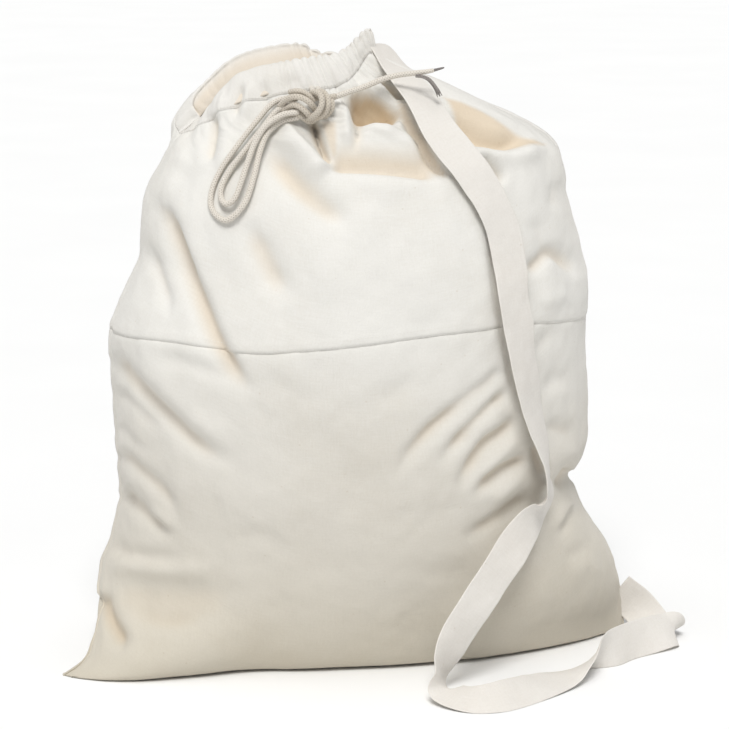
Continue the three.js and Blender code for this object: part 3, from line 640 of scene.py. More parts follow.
# ---------------------------------------------------------------------------
# folds. Each is a line in the front elevation with a height (below zero is a
# hollow), and a reach on each side of the line.
# ---------------------------------------------------------------------------
FOLDS = [
    # line, height, left reach, right reach, sharp, how far each end fades
    # upper front, left of the bow
    ([(-202.5, 466.5), (-194.5, 449.5), (-182.5, 432.5), (-167.5, 392.5), (-147.5, 339.5), (-135.5, 312.5), (-120.5, 287.5), (-96.5, 252.5)], -12.3, 11, 8, False, (0.6, 0.6)),
    ([(-180.5, 459.5), (-166.5, 426.5), (-150.5, 386.5), (-130.5, 342.5)], 4.3, 12, 16, False, (1, 1)),
    ([(-208.5, 418.5), (-192.5, 374.5), (-182.5, 332.5)], -5.2, 6, 6, False, (1, 1)),
    ([(-109.5, 441.5), (-90.5, 399.5), (-62.5, 346.5)], -8.7, 13, 13, False, (1, 1)),
    ([(-60.5, 429.5), (-34.5, 392.5), (-7.5, 354.5)], 3, 22, 22, False, (1, 1)),
    ([(-156.5, 514.5), (-166.5, 484.5), (-176.5, 459.5)], -3.6, 10, 10, False, (1, 1)),
    ([(-174.5, 526.5), (-168.5, 504.5), (-172.5, 479.5)], 4.1, 10, 10, False, (1, 1)),
    # under and beside the knot
    ([(-73.5, 538.5), (-52.5, 511.5), (-36.5, 496.5), (-22.5, 482.5)], 12.2, 15, 6, False, (0.8, 0.5)),
    ([(-90.5, 518.5), (-72.5, 489.5), (-40.5, 456.5), (7.5, 424.5)], -11.6, 13, 15, False, (0.8, 0.8)),
    ([(-40.5, 540.5), (-33.5, 517.5), (-22.5, 489.5)], -15, 9, 5, True, (0.3, 0.5)),
    ([(-10.5, 558.5), (-6.5, 534.5), (-1.5, 508.5)], 6.8, 6, 6, False, (1, 1)),
    ([(3.5, 556.5), (4.5, 526.5), (2.5, 504.5)], -7.2, 5, 5, False, (1, 1)),
    ([(4.5, 564.5), (8.5, 548.5), (15.5, 540.5), (32.5, 538.5), (49.5, 539.5)], -24, 8, 9, True, (0.3, 0.6)),
    ([(43.5, 543.5), (57.5, 531.5), (70.5, 512.5), (82.5, 493.5), (96.5, 474.5)], -13, 5, 6, True, (0.5, 0.5)),
    ([(7.5, 526.5), (27.5, 528.5), (49.5, 524.5)], 8.1, 8, 9, False, (1, 1)),
    ([(-26.5, 488.5), (2.5, 488.5), (47.5, 484.5), (89.5, 478.5)], -15, 5, 24, False, (0.4, 0.5)),
    ([(-17.5, 473.5), (27.5, 469.5), (77.5, 463.5)], 4.1, 12, 9, False, (1, 1)),
    ([(3.5, 568.5), (27.5, 563.5), (49.5, 551.5), (67.5, 532.5)], 9, 6, 6, False, (0.5, 0.8)),
    ([(30.5, 580.5), (41.5, 562.5), (52.5, 551.5)], -15.9, 5, 5, True, (0.6, 0.6)),
    ([(-52.5, 474.5), (-22.5, 449.5), (12.5, 439.5), (57.5, 442.5)], 2.7, 18, 18, False, (1, 1)),
    # loose part of the mouth
    ([(-109.5, 570.5), (-113.5, 560.5), (-116.5, 548.5), (-119.5, 532.5)], -6, 5, 6, False, (0.7, 0.9)),
    ([(-98.5, 574.5), (-105.5, 560.5), (-109.5, 544.5), (-112.5, 528.5)], 4, 6, 7, False, (0.8, 1)),
    ([(-90.5, 576.5), (-88.5, 556.5), (-84.5, 534.5)], -4, 7, 7, False, (0.9, 1)),
    ([(-80.5, 564.5), (-64.5, 571.5), (-46.5, 574.5)], -2.2, 7, 6, False, (1, 1)),
    ([(-126.5, 562.5), (-130.5, 550.5), (-132.5, 536.5)], 3.4, 5, 5, False, (1, 1)),
    ([(-140.5, 542.5), (-141.5, 519.5), (-145.5, 486.5)], -8, 6, 6, False, (0.5, 1)),
    ([(-124.5, 536.5), (-126.5, 504.5), (-138.5, 476.5)], 3.4, 8, 8, False, (1, 1)),
    # right shoulder
    ([(109.5, 518.5), (132.5, 506.5), (159.5, 501.5), (197.5, 504.5)], 8, 9, 9, False, (1, 0.8)),
    ([(125.5, 499.5), (138.5, 483.5), (151.5, 468.5)], -12, 6, 9, False, (0.7, 0.9)),
    ([(93.5, 538.5), (117.5, 524.5), (147.5, 514.5), (182.5, 513.5)], -16, 11, 9, False, (0.6, 0.8)),
    ([(205.5, 476.5), (199.5, 441.5)], -4, 7, 8, False, (1, 1)),
    ([(175.5, 439.5), (187.5, 419.5), (192.5, 399.5)], -3.6, 8, 8, False, (1, 1)),
    ([(175.5, 376.5), (187.5, 392.5), (200.5, 402.5), (215.5, 392.5), (227.5, 374.5)], -9, 7, 8, False, (0.6, 0.9)),
    ([(187.5, 348.5), (203.5, 356.5), (221.5, 361.5)], 4, 8, 9, False, (0.8, 1)),
    ([(179.5, 296.5), (193.5, 313.5), (209.5, 330.5)], -3.6, 8, 8, False, (1, 1)),
    ([(185.5, 258.5), (203.5, 273.5), (223.5, 282.5)], -2.8, 8, 8, False, (1, 1)),
    ([(187.5, 246.5), (203.5, 258.5), (221.5, 265.5)], 2, 8, 8, False, (1, 1)),
    ([(191.5, 230.5), (209.5, 224.5), (225.5, 222.5)], -5, 9, 9, False, (0.8, 0.8)),
    ([(199.5, 209.5), (215.5, 202.5), (227.5, 204.5)], 2.5, 8, 8, False, (1, 0.8)),
    ([(203.5, 164.5), (211.5, 174.5), (219.5, 186.5)], -7.5, 6, 7, False, (0.9, 0.5)),
    ([(198.5, 122.5), (209.5, 139.5), (220.5, 157.5)], 4, 6, 7, False, (1, 0.6)),
    ([(205.5, 116.5), (216.5, 135.5), (225.5, 150.5)], -4, 6, 6, False, (1, 0.6)),
    ([(209.5, 92.5), (227.5, 103.5), (243.5, 109.5)], -2.2, 8, 8, False, (1, 1)),
    ([(213.5, 72.5), (231.5, 84.5), (251.5, 92.5)], 1.8, 9, 9, False, (1, 1)),
    # lower front, left
    ([(-241.5, 301.5), (-219.5, 271.5), (-190.5, 241.5), (-147.5, 203.5), (-109.5, 188.5)], -8.5, 8, 11, False, (0.3, 0.9)),
    ([(-226.5, 308.5), (-192.5, 268.5), (-152.5, 230.5), (-102.5, 202.5)], 4.5, 12, 13, False, (0.8, 1)),
    ([(-239.5, 266.5), (-214.5, 242.5), (-192.5, 218.5)], -4, 6, 6, False, (0.5, 1)),
    ([(-238.5, 230.5), (-222.5, 214.5), (-202.5, 198.5)], -2.6, 6, 6, False, (0.5, 1)),
    ([(-237.5, 204.5), (-207.5, 178.5), (-187.5, 157.5), (-170.5, 134.5)], -6.5, 6, 8, False, (0.4, 1)),
    ([(-231.5, 164.5), (-202.5, 134.5), (-178.5, 114.5)], -6.5, 7, 8, False, (0.35, 1)),
    ([(-210.5, 149.5), (-186.5, 132.5), (-170.5, 124.5)], 3.8, 6, 6, False, (1, 1)),
    ([(-242.5, 113.5), (-228.5, 102.5), (-202.5, 96.5), (-162.5, 92.5)], -4.5, 7, 8, False, (0.5, 1)),
    ([(-255.5, 62.5), (-244.5, 34.5), (-224.5, 4.5)], -10.2, 8, 9, False, (0.4, 0.8)),
    ([(-254.5, 70.5), (-212.5, 56.5), (-157.5, 52.5), (-92.5, 56.5)], -6, 26, 22, False, (0.6, 1)),
    ([(-256.5, 88.5), (-212.5, 88.5), (-162.5, 84.5), (-122.5, 88.5)], 4, 12, 10, False, (0.7, 1)),
    ([(-222.5, 44.5), (-187.5, 32.5), (-147.5, 36.5)], -3.2, 9, 9, False, (1, 1)),
    ([(-202.5, 302.5), (-156.5, 287.5), (-112.5, 272.5)], -3.2, 8, 8, False, (1, 1)),
    ([(-90.5, 282.5), (-52.5, 259.5), (-22.5, 252.5)], -2.3, 12, 12, False, (1, 1)),
    ([(-127.5, 106.5), (-94.5, 118.5), (-52.5, 98.5)], -2.6, 12, 10, False, (1, 1)),
    # lower front, right, running under the strap
    ([(153.5, 288.5), (127.5, 266.5), (107.5, 249.5), (77.5, 224.5), (55.5, 199.5), (41.5, 175.5)], -9.4, 6, 8, False, (0.5, 1)),
    ([(159.5, 266.5), (137.5, 245.5), (117.5, 224.5), (97.5, 204.5), (83.5, 189.5)], -9.4, 6, 7, False, (0.5, 1)),
    ([(143.5, 280.5), (117.5, 257.5), (95.5, 237.5)], 4.1, 6, 6, False, (0.6, 1)),
    ([(152.5, 254.5), (129.5, 232.5), (109.5, 211.5)], 4.3, 6, 6, False, (0.6, 1)),
    ([(169.5, 238.5), (150.5, 222.5), (132.5, 208.5), (101.5, 160.5)], -9.4, 6, 8, False, (0.5, 1)),
    ([(167.5, 218.5), (147.5, 199.5), (129.5, 176.5)], 4.1, 6, 7, False, (0.6, 1)),
    ([(181.5, 198.5), (165.5, 191.5), (147.5, 182.5), (117.5, 152.5)], -9.4, 6, 7, False, (0.5, 1)),
    ([(179.5, 162.5), (159.5, 147.5), (137.5, 130.5), (105.5, 112.5)], -6.5, 7, 8, False, (0.5, 1)),
    ([(173.5, 178.5), (152.5, 164.5), (135.5, 148.5)], 3.5, 6, 6, False, (0.8, 1)),
    ([(183.5, 214.5), (188.5, 192.5), (193.5, 172.5)], -8.7, 7, 6, False, (0.8, 0.8)),
    ([(77.5, 282.5), (42.5, 262.5), (7.5, 244.5)], -2.6, 12, 12, False, (1, 1)),
    ([(47.5, 94.5), (87.5, 79.5), (127.5, 88.5)], -2.3, 14, 14, False, (1, 1)),
    # strap lying close: a shallow trough along its left edge
    ([(137.5, 432.5), (146.5, 354.5), (155.5, 302.5), (167.5, 249.5)], -5.1, 6, 6, False, (0.5, 0.5)),
]


def fold_height(E, line, height, left, right, sharp=False, ends=(1, 1)):
    """Height of one fold at the points E (across, height). Downward lines have their
    right-hand reach on the bag's right."""
    p = catmull(np.asarray(line, float), 24) if len(line) > 2 else np.linspace(line[0], line[1], 12)
    total = np.concatenate([[0], np.cumsum(np.linalg.norm(np.diff(p, axis=0), axis=1))])
    best = np.full(E.shape[:-1], 1e9)
    out = np.zeros(E.shape[:-1])
    far = max(left, right) * 3.2
    lo, hi = p.min(0) - far, p.max(0) + far
    inside = (E[..., 0] > lo[0]) & (E[..., 0] < hi[0]) & (E[..., 1] > lo[1]) & (E[..., 1] < hi[1])
    Q = E[inside]
    if not len(Q):
        return out
    bd = np.full(len(Q), 1e9)
    bs = np.zeros(len(Q))
    sg = np.ones(len(Q))
    ov = np.zeros(len(Q))
    for i in range(len(p) - 1):
        d = p[i + 1] - p[i]
        L2 = d @ d
        t = ((Q - p[i]) @ d) / L2
        tc = np.clip(t, 0, 1)
        near = p[i] + tc[:, None] * d
        dist = np.linalg.norm(Q - near, axis=1)
        cross = d[0] * (Q[:, 1] - p[i][1]) - d[1] * (Q[:, 0] - p[i][0])
        hit = dist < bd
        bd[hit] = dist[hit]
        bs[hit] = (total[i] + tc * math.sqrt(L2))[hit]
        sg[hit] = np.sign(cross)[hit]
    s = bs / total[-1]
    taper = np.ones(len(Q))
    if ends[0]:
        taper *= smoothstep(-0.02, 0.38 * ends[0], s)
    if ends[1]:
        taper *= smoothstep(-0.02, 0.38 * ends[1], 1 - s)
    reach = np.where(sg > 0, right, left)
    k = bd / reach
    prof = np.exp(-np.sqrt(k * k + 0.04) * 1.5 + 0.3) if sharp else np.exp(-k * k)
    out[inside] = height * taper * prof
    return out


PITS = [
    ([(4.5, 562.5), (17.5, 561.5), (33.5, 554.5), (47.5, 543.5), (45.5, 538.5), (31.5, 536.5), (15.5, 536.5), (6.5, 539.5)], 17, 6),
    ([(28.5, 575.5), (38.5, 577.5), (46.5, 564.5), (52.5, 553.5), (43.5, 558.5), (34.5, 566.5)], 8, 4),
    ([(-43.5, 538.5), (-35.5, 536.5), (-28.5, 516.5), (-21.5, 494.5), (-26.5, 491.5), (-34.5, 510.5), (-40.5, 526.5)], 5, 4),
    ([(128.5, 496.5), (137.5, 491.5), (149.5, 474.5), (145.5, 469.5), (135.5, 478.5)], 8, 5),
]


# painted warm shade where the cloth lies back between folds and gets its light from the cloth around it; these zones
# only tint the colour
SHADE_TINT_ZONES = [
    ([(87.5, 559.5), (109.5, 553.5), (131.5, 543.5), (150.5, 533.5), (170.5, 523.5), (197.5, 510.5), (192.5, 507.5), (159.5, 505.5), (133.5, 510.5), (109.5, 523.5)], 0.75, 5),
    ([(-18.5, 504.5), (7.5, 504.5), (47.5, 502.5), (77.5, 498.5), (90.5, 484.5), (67.5, 482.5), (27.5, 484.5), (-17.5, 486.5)], 0.55, 9),
    ([(-34.5, 536.5), (-14.5, 536.5), (-12.5, 504.5), (-18.5, 490.5), (-26.5, 508.5)], 0.5, 6),
    ([(39.5, 568.5), (49.5, 550.5), (71.5, 526.5), (99.5, 478.5), (91.5, 478.5), (67.5, 514.5), (45.5, 542.5)], 0.6, 4),
]


def pit_height(E, corners, depth, soft):
    """A hollow with steep sides: the cloth drops away inside the given corners."""
    c = np.asarray(corners, float)
    lo, hi = c.min(0), c.max(0)
    inside = (E[..., 0] > lo[0]) & (E[..., 0] < hi[0]) & (E[..., 1] > lo[1]) & (E[..., 1] < hi[1])
    out = np.zeros(E.shape[:-1])
    Q = E[inside]
    if not len(Q):
        return out
    near = np.full(len(Q), 1e9)
    wind = np.zeros(len(Q), bool)
    for i in range(len(c)):
        a, b = c[i], c[(i + 1) % len(c)]
        d = b - a
        t = np.clip(((Q - a) @ d) / (d @ d), 0, 1)
        near = np.minimum(near, np.linalg.norm(Q - (a + t[:, None] * d), axis=1))
        crosses = ((a[1] > Q[:, 1]) != (b[1] > Q[:, 1]))
        with np.errstate(divide="ignore", invalid="ignore"):
            xs = a[0] + (Q[:, 1] - a[1]) * d[0] / d[1]
        wind ^= crosses & (Q[:, 0] < xs)
    out[inside] = np.where(wind, -depth * smoothstep(0, soft, near), 0)
    return out


def pleat_height(rho, phase, count, lean):
    """Rounded pleats with tight valleys between them."""
    c = np.abs(np.cos(math.pi * (rho * count + phase + lean)))
    return 1.6 * c ** 0.7 - 1.0


def crumple(X, Y, seed):
    return wrinkle_field(X, Y, (150, 70, 34, 16, 8), (1.3, 0.75, 0.34, 0.13, 0.05), seed)


def arc_coordinates(P):
    dx = np.linalg.norm(np.diff(P, axis=1), axis=2)
    X = np.concatenate([np.zeros((1,)), np.cumsum(dx[N_BASE + 60])])
    dy = np.linalg.norm(np.diff(P, axis=0), axis=2)
    Y = np.concatenate([np.zeros((1, P.shape[1])), np.cumsum(dy, axis=0)], 0)
    return np.broadcast_to(X[None, :], Y.shape).copy(), Y


def shape_side(side, columns, folds, seed, border=None):
    """One side of the bag with all its folds. Also gives how deep in a fold each point lies, which tints the colour as
    painted shade.
    """
    P, phi, rho = base_surface(side, columns)
    X, Y = arc_coordinates(P)
    N = grid_normals(P) * (1 if side < 0 else -1)
    rows = len(P)
    i_seam = N_BASE + N_WALL1
    i_top = i_seam + N_WALL2
    i_hem = i_top + N_TOP
    i_rim = i_hem + N_HEM
    idx = np.arange(rows)
    E = elevation(P)
    if side > 0:                       # folds of the back are given as seen from behind
        E = np.stack([-P[..., 0], P[..., 2]], -1)
    D = np.zeros(P.shape[:2])
    for line, height, left, right, sharp, ends in folds:
        D += fold_height(E, line, height, left, right, sharp, ends)
    outer = 1 - smoothstep(i_rim - 3, i_rim + 1, idx)[:, None]
    # painted shade: the deeper a point lies in a fold or pit, the warmer its colour is tinted
    hollow = np.clip((-D - 3.0) / 9.0, 0, 1) ** 1.2 * 0.5
    if side < 0:
        pits = np.zeros(P.shape[:2])
        for corners, depth, soft in PITS:
            pits = np.minimum(pits, pit_height(E, corners, depth, soft))
        pits = gauss(gauss(pits, 0.8, 0), 0.8, 1)
        D += pits
        hollow = np.maximum(hollow, np.clip(-pits / 9.0, 0, 1))
        for corners, amount, soft in SHADE_TINT_ZONES:
            hollow = np.maximum(hollow, -pit_height(E, corners, amount, soft))
    D *= outer
    # slack of the cloth between the folds
    slack = crumple(X + 900 * (side > 0), Y, seed)
    floor_fade = smoothstep(N_BASE - 2, N_BASE + 14, idx)[:, None]
    D += slack * (0.25 + 0.75 * floor_fade) * outer * 0.9
    # gathers
    r = rho[None, :]
    t_top = np.clip((idx - i_top) / N_TOP, 0, 1)[:, None]
    if side < 0:
        tight = smoothstep(0.44, 0.56, r) * (1 - smoothstep(0.97, 1.0, r))
        loose = 1 - smoothstep(0.42, 0.56, r)
        lean = 0.25 * np.clip((idx - i_hem) / N_HEM, 0, 1)[:, None]
        warp = 0.12 * np.sin(r * 37.0) + 0.08 * np.sin(r * 71.0 + 1.0)
        h = pleat_height(r, warp, 27, lean * 2.2)
        amp = 1.9 * tight * (0.25 * smoothstep(0.15, 0.8, t_top) + 0.75 * smoothstep(0.62, 1.0, t_top))
        h2 = pleat_height(r, 0.2, 9, lean)
        amp2 = 0.45 * loose * smoothstep(0.5, 1.0, t_top)
        deep = tight * 2.2 * smoothstep(0.2, 0.9, t_top) * (1 - smoothstep(i_hem - 4, i_hem + 6, idx)[:, None]) * pleat_height(r, 0.37, 10, 0)
        D += h * amp + h2 * amp2 * 0.8 + deep
    else:
        edge = smoothstep(0.0, 0.06, r) * (1 - smoothstep(0.95, 1.0, r))
        warp = 0.15 * np.sin(r * 29.0) + 0.1 * np.sin(r * 57.0 + 2.0)
        h = pleat_height(r, warp, 19, 0.2 * np.clip((idx - i_hem) / N_HEM, 0, 1)[:, None])
        slackened = smoothstep(0.50, 0.72, r)
        D += h * (0.5 + 2.0 * slackened) * edge * smoothstep(0.35, 1.0, t_top)
        D += pleat_height(r, 0.1, 8, 0) * 3.2 * edge * smoothstep(0.0, 0.6, t_top) * (1 - smoothstep(0.75, 1.0, t_top))
    # the seam between the panels draws the cloth in
    level = np.concatenate([np.zeros(N_BASE), np.linspace(0, SEAM_Z, N_WALL1 + 1), np.linspace(SEAM_Z, 500, N_WALL2 + 1)[1:], np.full(rows - N_BASE - N_WALL1 - N_WALL2 - 1, 900.0)])
    z = np.broadcast_to(level[:, None], P.shape[:2])
    wallrows = ((idx > N_BASE) & (idx < i_top))[:, None]
    dz = z - SEAM_Z
    D -= wallrows * 1.1 * np.exp(-(dz / 3.0) ** 2)
    pucker = np.sin(X / 2.9 + 1.3 * np.sin(X / 17.0)) * 0.32 + np.sin(X / 7.7 + 2.0) * 0.4
    D += wallrows * pucker * np.exp(-np.abs(dz) / 11.0) * (1 - np.exp(-(dz / 2.0) ** 2))
    # stitched side seams: a raised line with small gathers beside it
    ax = np.minimum(X, X[:, -1:] - X)
    D += outer * (1.3 * np.exp(-(ax / 2.6) ** 2) - 0.7 * np.exp(-((ax - 7) / 3.5) ** 2))
    D += outer * 0.5 * np.sin(Y / 4.3 + 1.7 * np.sin(Y / 21.0)) * np.exp(-ax / 12.0) * (1 - np.exp(-(ax / 3.0) ** 2))
    # hem stitching line
    D -= 0.35 * np.exp(-((idx - i_hem) / 1.3) ** 2)[:, None]
    move = N * D[..., None]
    if border is not None:             # meet the front exactly along both side seams
        near = np.exp(-(np.abs(phi + math.pi / 2) / 0.10) ** 2)[None, :, None]
        move = move + (border[0][:, None, :] - move[:, :1, :]) * near
        near = np.exp(-(np.abs(phi - math.pi / 2) / 0.10) ** 2)[None, :, None]
        move = move + (border[1][:, None, :] - move[:, -1:, :]) * near
    Q = P + move
    Q[..., 2] = np.where(idx[:, None] <= N_BASE + 2, np.maximum(Q[..., 2], 0.6), Q[..., 2])
    Q[..., 2] = np.maximum(Q[..., 2], 0.6)
    # painted shade: the inside of the mouth is tinted warm as well
    hollow = np.maximum(hollow * outer, (0.5 if side > 0 else 0.4) * smoothstep(i_rim + 2, i_rim + 8, idx)[:, None])
    return Q, X, Y, (i_seam, i_hem, i_rim), (move[:, 0], move[:, -1]), hollow


def cloth_piece(name, Q, X, Y, hollow, a, b, side, material, thickness, lap=None):
    """Rows a..b of a side as one sheet of cloth."""
    G = Q[a:b + 1].copy()
    if lap:                            # the upper panel is folded over the lower one's edge
        n = grid_normals(G) * (1 if side < 0 else -1)
        for k, (out, down) in enumerate(lap):
            G[k] += n[k] * out + np.array([0, 0, -down])
    nr, nc = G.shape[:2]
    index = np.arange(nr * nc).reshape(nr, nc)
    q = np.stack([index[:-1, :-1], index[:-1, 1:], index[1:, 1:], index[1:, :-1]], -1).reshape(-1, 4)
    if side > 0:
        q = q[:, ::-1]
    V = G.reshape(-1, 3)
    xy = np.stack([X[a:b + 1].ravel() / 1000, Y[a:b + 1].ravel() / 1000, np.full(nr * nc, 0.3 * side)], -1)
    o = make_object(name, V, q, material, {"cloth_xy": xy, "rest_z": V[:, 2] / 1000, "hollow": hollow[a:b + 1].ravel()}, weld=0.02)
    mod = o.modifiers.new("thickness", "SOLIDIFY")
    mod.thickness = thickness / 1000
    mod.offset = -1
    return o


# folds of the back, across measured to the left of the bag as seen from behind
BACK_FOLDS = [
    ([(-150, 470), (-110, 400), (-70, 350)], -6, 9, 9, False, (0.6, 1)),
    ([(-60, 540), (-40, 470), (-30, 400)], -7, 10, 10, False, (0.6, 1)),
    ([(-10, 545), (5, 480), (0, 420)], 5, 12, 12, False, (0.8, 1)),
    ([(50, 545), (70, 480), (95, 425)], -7, 10, 12, False, (0.6, 1)),
    ([(110, 520), (140, 455), (165, 400)], -6, 9, 10, False, (0.6, 1)),
    ([(-205, 400), (-160, 350), (-120, 300)], -6, 8, 8, False, (0.3, 1)),
    ([(-238, 330), (-190, 290), (-150, 240)], -5.5, 8, 9, False, (0.2, 1)),
    ([(-236, 225), (-190, 200), (-150, 160)], -6, 8, 9, False, (0.1, 1)),
    ([(-226, 160), (-180, 150), (-140, 120)], -6, 8, 9, False, (0.1, 1)),
    ([(236, 330), (190, 270), (140, 230)], -6, 8, 9, False, (0.2, 1)),
    ([(232, 270), (180, 230), (130, 190)], -5.5, 8, 9, False, (0.2, 1)),
    ([(228, 190), (190, 160), (150, 150)], -6, 8, 9, False, (0.1, 1)),
    ([(236, 140), (190, 110), (150, 100)], -4.5, 8, 9, False, (0.1, 1)),
    ([(200, 440), (160, 380), (150, 330)], -5, 9, 9, False, (0.3, 1)),
    ([(-30, 300), (20, 270), (80, 275)], -2.5, 16, 16, False, (1, 1)),
    ([(-80, 180), (-20, 150), (40, 160)], -2.5, 16, 16, False, (1, 1)),
    ([(60, 110), (120, 80), (190, 70)], -3, 12, 12, False, (1, 1)),
    ([(-200, 60), (-140, 80), (-90, 70)], -3.5, 12, 12, False, (1, 1)),
]

Qf, Xf, Yf, (I_SEAM, I_HEM, I_RIM), border, Hf = shape_side(-1, 240, FOLDS, 11)
Qb, Xb, Yb, _, _, Hb = shape_side(1, 150, BACK_FOLDS, 23, border)
LAST = len(Qf) - 1

LAP = [(0.9, 1.6), (0.8, 0.6), (0.5, 0.0), (0.2, 0.0)]
front_lower = cloth_piece("front_lower_cloth", Qf, Xf, Yf, Hf, 0, I_SEAM, -1, mat_cloth, 1.0)
front_upper = cloth_piece("front_upper_cloth", Qf, Xf, Yf, Hf, I_SEAM, I_HEM, -1, mat_cloth, 1.0, LAP)
front_hem = cloth_piece("front_mouth_hem", Qf, Xf, Yf, Hf, I_HEM, LAST, -1, mat_hem, 0.9)
back_lower = cloth_piece("back_lower_cloth", Qb, Xb, Yb, Hb, 0, I_SEAM, 1, mat_cloth, 1.0)
back_upper = cloth_piece("back_upper_cloth", Qb, Xb, Yb, Hb, I_SEAM, I_HEM, 1, mat_cloth, 1.0, LAP)
back_hem = cloth_piece("back_mouth_hem", Qb, Xb, Yb, Hb, I_HEM, LAST, 1, mat_hem, 0.9)


# ---------------------------------------------------------------------------
# stitching: short thread lengths that dip into the cloth at each end
# ---------------------------------------------------------------------------
def stitch_parts(line, normals, pitch=3.4, length=2.5, radius=0.28, lift=0.32):
    line = np.asarray(line, float)
    d = np.concatenate([[0], np.cumsum(np.linalg.norm(np.diff(line, axis=0), axis=1))])
    parts = []
    for s in np.arange(2.0, d[-1] - 3.0, pitch):
        q = np.linspace(s, s + length, 5)
        p = np.stack([np.interp(q, d, line[:, c]) for c in range(3)], -1)
        n = unit(np.stack([np.interp(q, d, normals[:, c]) for c in range(3)], -1))
        rise = np.array([-0.25, lift * 0.75, lift, lift * 0.75, -0.25])
        p = p + n * rise[:, None]
        parts.append(tube(p, radius, sides=6, round_ends=False))
    return parts


def seam_line(Q, side, row, keep):
    n = grid_normals(Q)[row] * (1 if side < 0 else -1)
    cols = slice(keep, Q.shape[1] - keep)
    return Q[row][cols], n[cols]


l1, n1 = seam_line(Qf, -1, I_SEAM + 2, 3)
l2, n2 = seam_line(Qb, 1, I_SEAM + 2, 3)
panel_stitch = tube_object("panel_seam_stitches", stitch_parts(l1, n1, lift=0.45) + stitch_parts(l2, n2, lift=0.45), mat_thread)
l3, n3 = seam_line(Qf, -1, I_HEM + 1, 3)
l4, n4 = seam_line(Qb, 1, I_HEM + 1, 3)
hem_stitch = tube_object("hem_stitches", stitch_parts(l3, n3, 3.2, 2.3) + stitch_parts(l4, n4, 3.2, 2.3), mat_thread)


# ---------------------------------------------------------------------------
# drawcord
# ---------------------------------------------------------------------------
CORD_D = 5.5
KNOT = np.array([-45.2, -72.5, 558.5])
BOW_OUTER = [
    [-62.2, -60.5, 563.5], [-72.5, -56.5, 563.4], [-84.6, -55.5, 558.5], [-100.5, -64, 543.2],
    [-120, -71, 520.5], [-135.6, -74, 499.2], [-144.5, -80.5, 482.2], [-147, -86.5, 468.2],
    [-142.6, -94, 458.4], [-133.8, -100.5, 454.5], [-123.6, -103.5, 461.4], [-113.8, -101, 475],
    [-105.4, -91.5, 497.2], [-99.2, -82.5, 517.7], [-91, -74.5, 533.2], [-78.5, -68.5, 542.2], [-62, -69.5, 546.6],
]
BOW_INNER = [
    [-61.6, -66.5, 557], [-71.5, -63.6, 557], [-81.8, -62.6, 551.8], [-95.8, -71, 537], [-113.7, -77, 516.4],
    [-127, -79.5, 499.6], [-135.4, -84.5, 486], [-137.6, -90, 475.5], [-133.6, -96.5, 469.4],
    [-126, -99.5, 474], [-118.6, -95.5, 489.8], [-111.8, -88.5, 507.1], [-104.2, -81.5, 524.4],
    [-93, -77.2, 540.4], [-78, -74.6, 549.6], [-62.6, -73.2, 552.4],
]
TAIL = [
    [-28.9, -63.5, 563.8], [-14, -58.5, 568.2], [3.2, -54.5, 573], [20.7, -54, 579.8],
    [35, -56, 583.9], [51, -59.5, 586.2], [62.3, -60.5, 587.5], [69.5, -60, 588.5],
]


def cord_mesh(name, points, diameter, material, extra_start=None, extra_end=None, taper=None):
    pts = list(points)
    length = line_length(catmull(pts, 400))
    path = catmull(pts, int(length / 0.62))
    r = np.full(len(path), diameter / 2)
    if taper is not None:
        f = np.linspace(0, 1, len(path))
        r = r * np.interp(f, taper[0], taper[1])
    parts = [tube(path, r, sides=24, braid=0.13, pitch=11.0, strands=4)]
    o = tube_object(name, parts, material)
    return o, path, line_length(path)


bow_outer, path_outer, len_outer = cord_mesh("drawcord_bow_outer_loop", BOW_OUTER, CORD_D, mat_cord)
bow_inner, path_inner, len_inner = cord_mesh("drawcord_bow_inner_loop", BOW_INNER, CORD_D, mat_cord)
tail, path_tail, len_tail = cord_mesh("drawcord_tail_end", TAIL, CORD_D, mat_cord, taper=([0, 0.5, 0.85, 1.0], [1.0, 0.98, 0.9, 0.72]))

# stiffened dark tip, whipped with fine thread
tip_path = catmull([[68.6, -60.1, 588.3], [72, -59.8, 589.0], [76, -59.2, 589.9], [80.4, -58.5, 590.9]], 44)
f = np.linspace(0, 1, 44)
tip_r = 1.45 * np.interp(f, [0, 0.12, 0.8, 1], [1.12, 1.0, 0.75, 0.5]) * (1 + 0.06 * np.cos(f * 2 * np.pi * 15))
tip = tube_object("drawcord_stiff_tip", [tube(tip_path, tip_r, sides=14)], mat_tip)

# the other end, tucked under the tail, its strands come apart
fray_line = np.array([
    (63.5, 578.7, -62), (69.5, 577.9, -63.5), (75.5, 575.5, -65), (80.5, 570.5, -66), (84.5, 564.5, -66),
    (87.5, 557.5, -65.5),
])
fray_line = np.array([at_depth(x, z, y) for x, z, y in fray_line])
fray_parts = []
spine = catmull(fray_line, 60)
ft, fa, fb = frames(spine)
for k in range(17):
    ang = 2 * math.pi * k / 17 + rng.uniform(-0.2, 0.2)
    ring = 1.55 if k % 2 else 0.75
    cut = int(rng.uniform(0.80, 1.0) * len(spine))
    g = np.linspace(0, 1, len(spine))
    spread = ring * (0.75 + 0.75 * g ** 2)
    tw = ang + 2.2 * g * (1 if k % 3 else -1)
    line = spine + fa * (spread * np.cos(tw))[:, None] + fb * (spread * np.sin(tw))[:, None]
    fray_parts.append(tube(line[:cut], 0.58 * (1 - 0.35 * g[:cut] ** 3), sides=8))
# the strands' grey is painted shade
fray = tube_object("drawcord_frayed_strands", fray_parts, mat_fray_shaded)


# the knot: two wraps round a core of crossing turns
def ring_turn(centre, axis, up, ru, rv, start, sweep, tilt=0.0, n=90, squash=1.0):
    axis, up = unit(axis), unit(up)
    up = unit(up - axis * (up @ axis))
    v = np.cross(axis, up)
    a = np.linspace(start, start + sweep, n)
    return centre + np.outer(np.cos(a) * ru, up) + np.outer(np.sin(a) * rv, v) + np.outer(tilt * (a - a.mean()) / sweep, axis)


knot_r = CORD_D / 2
kp = []
K = KNOT


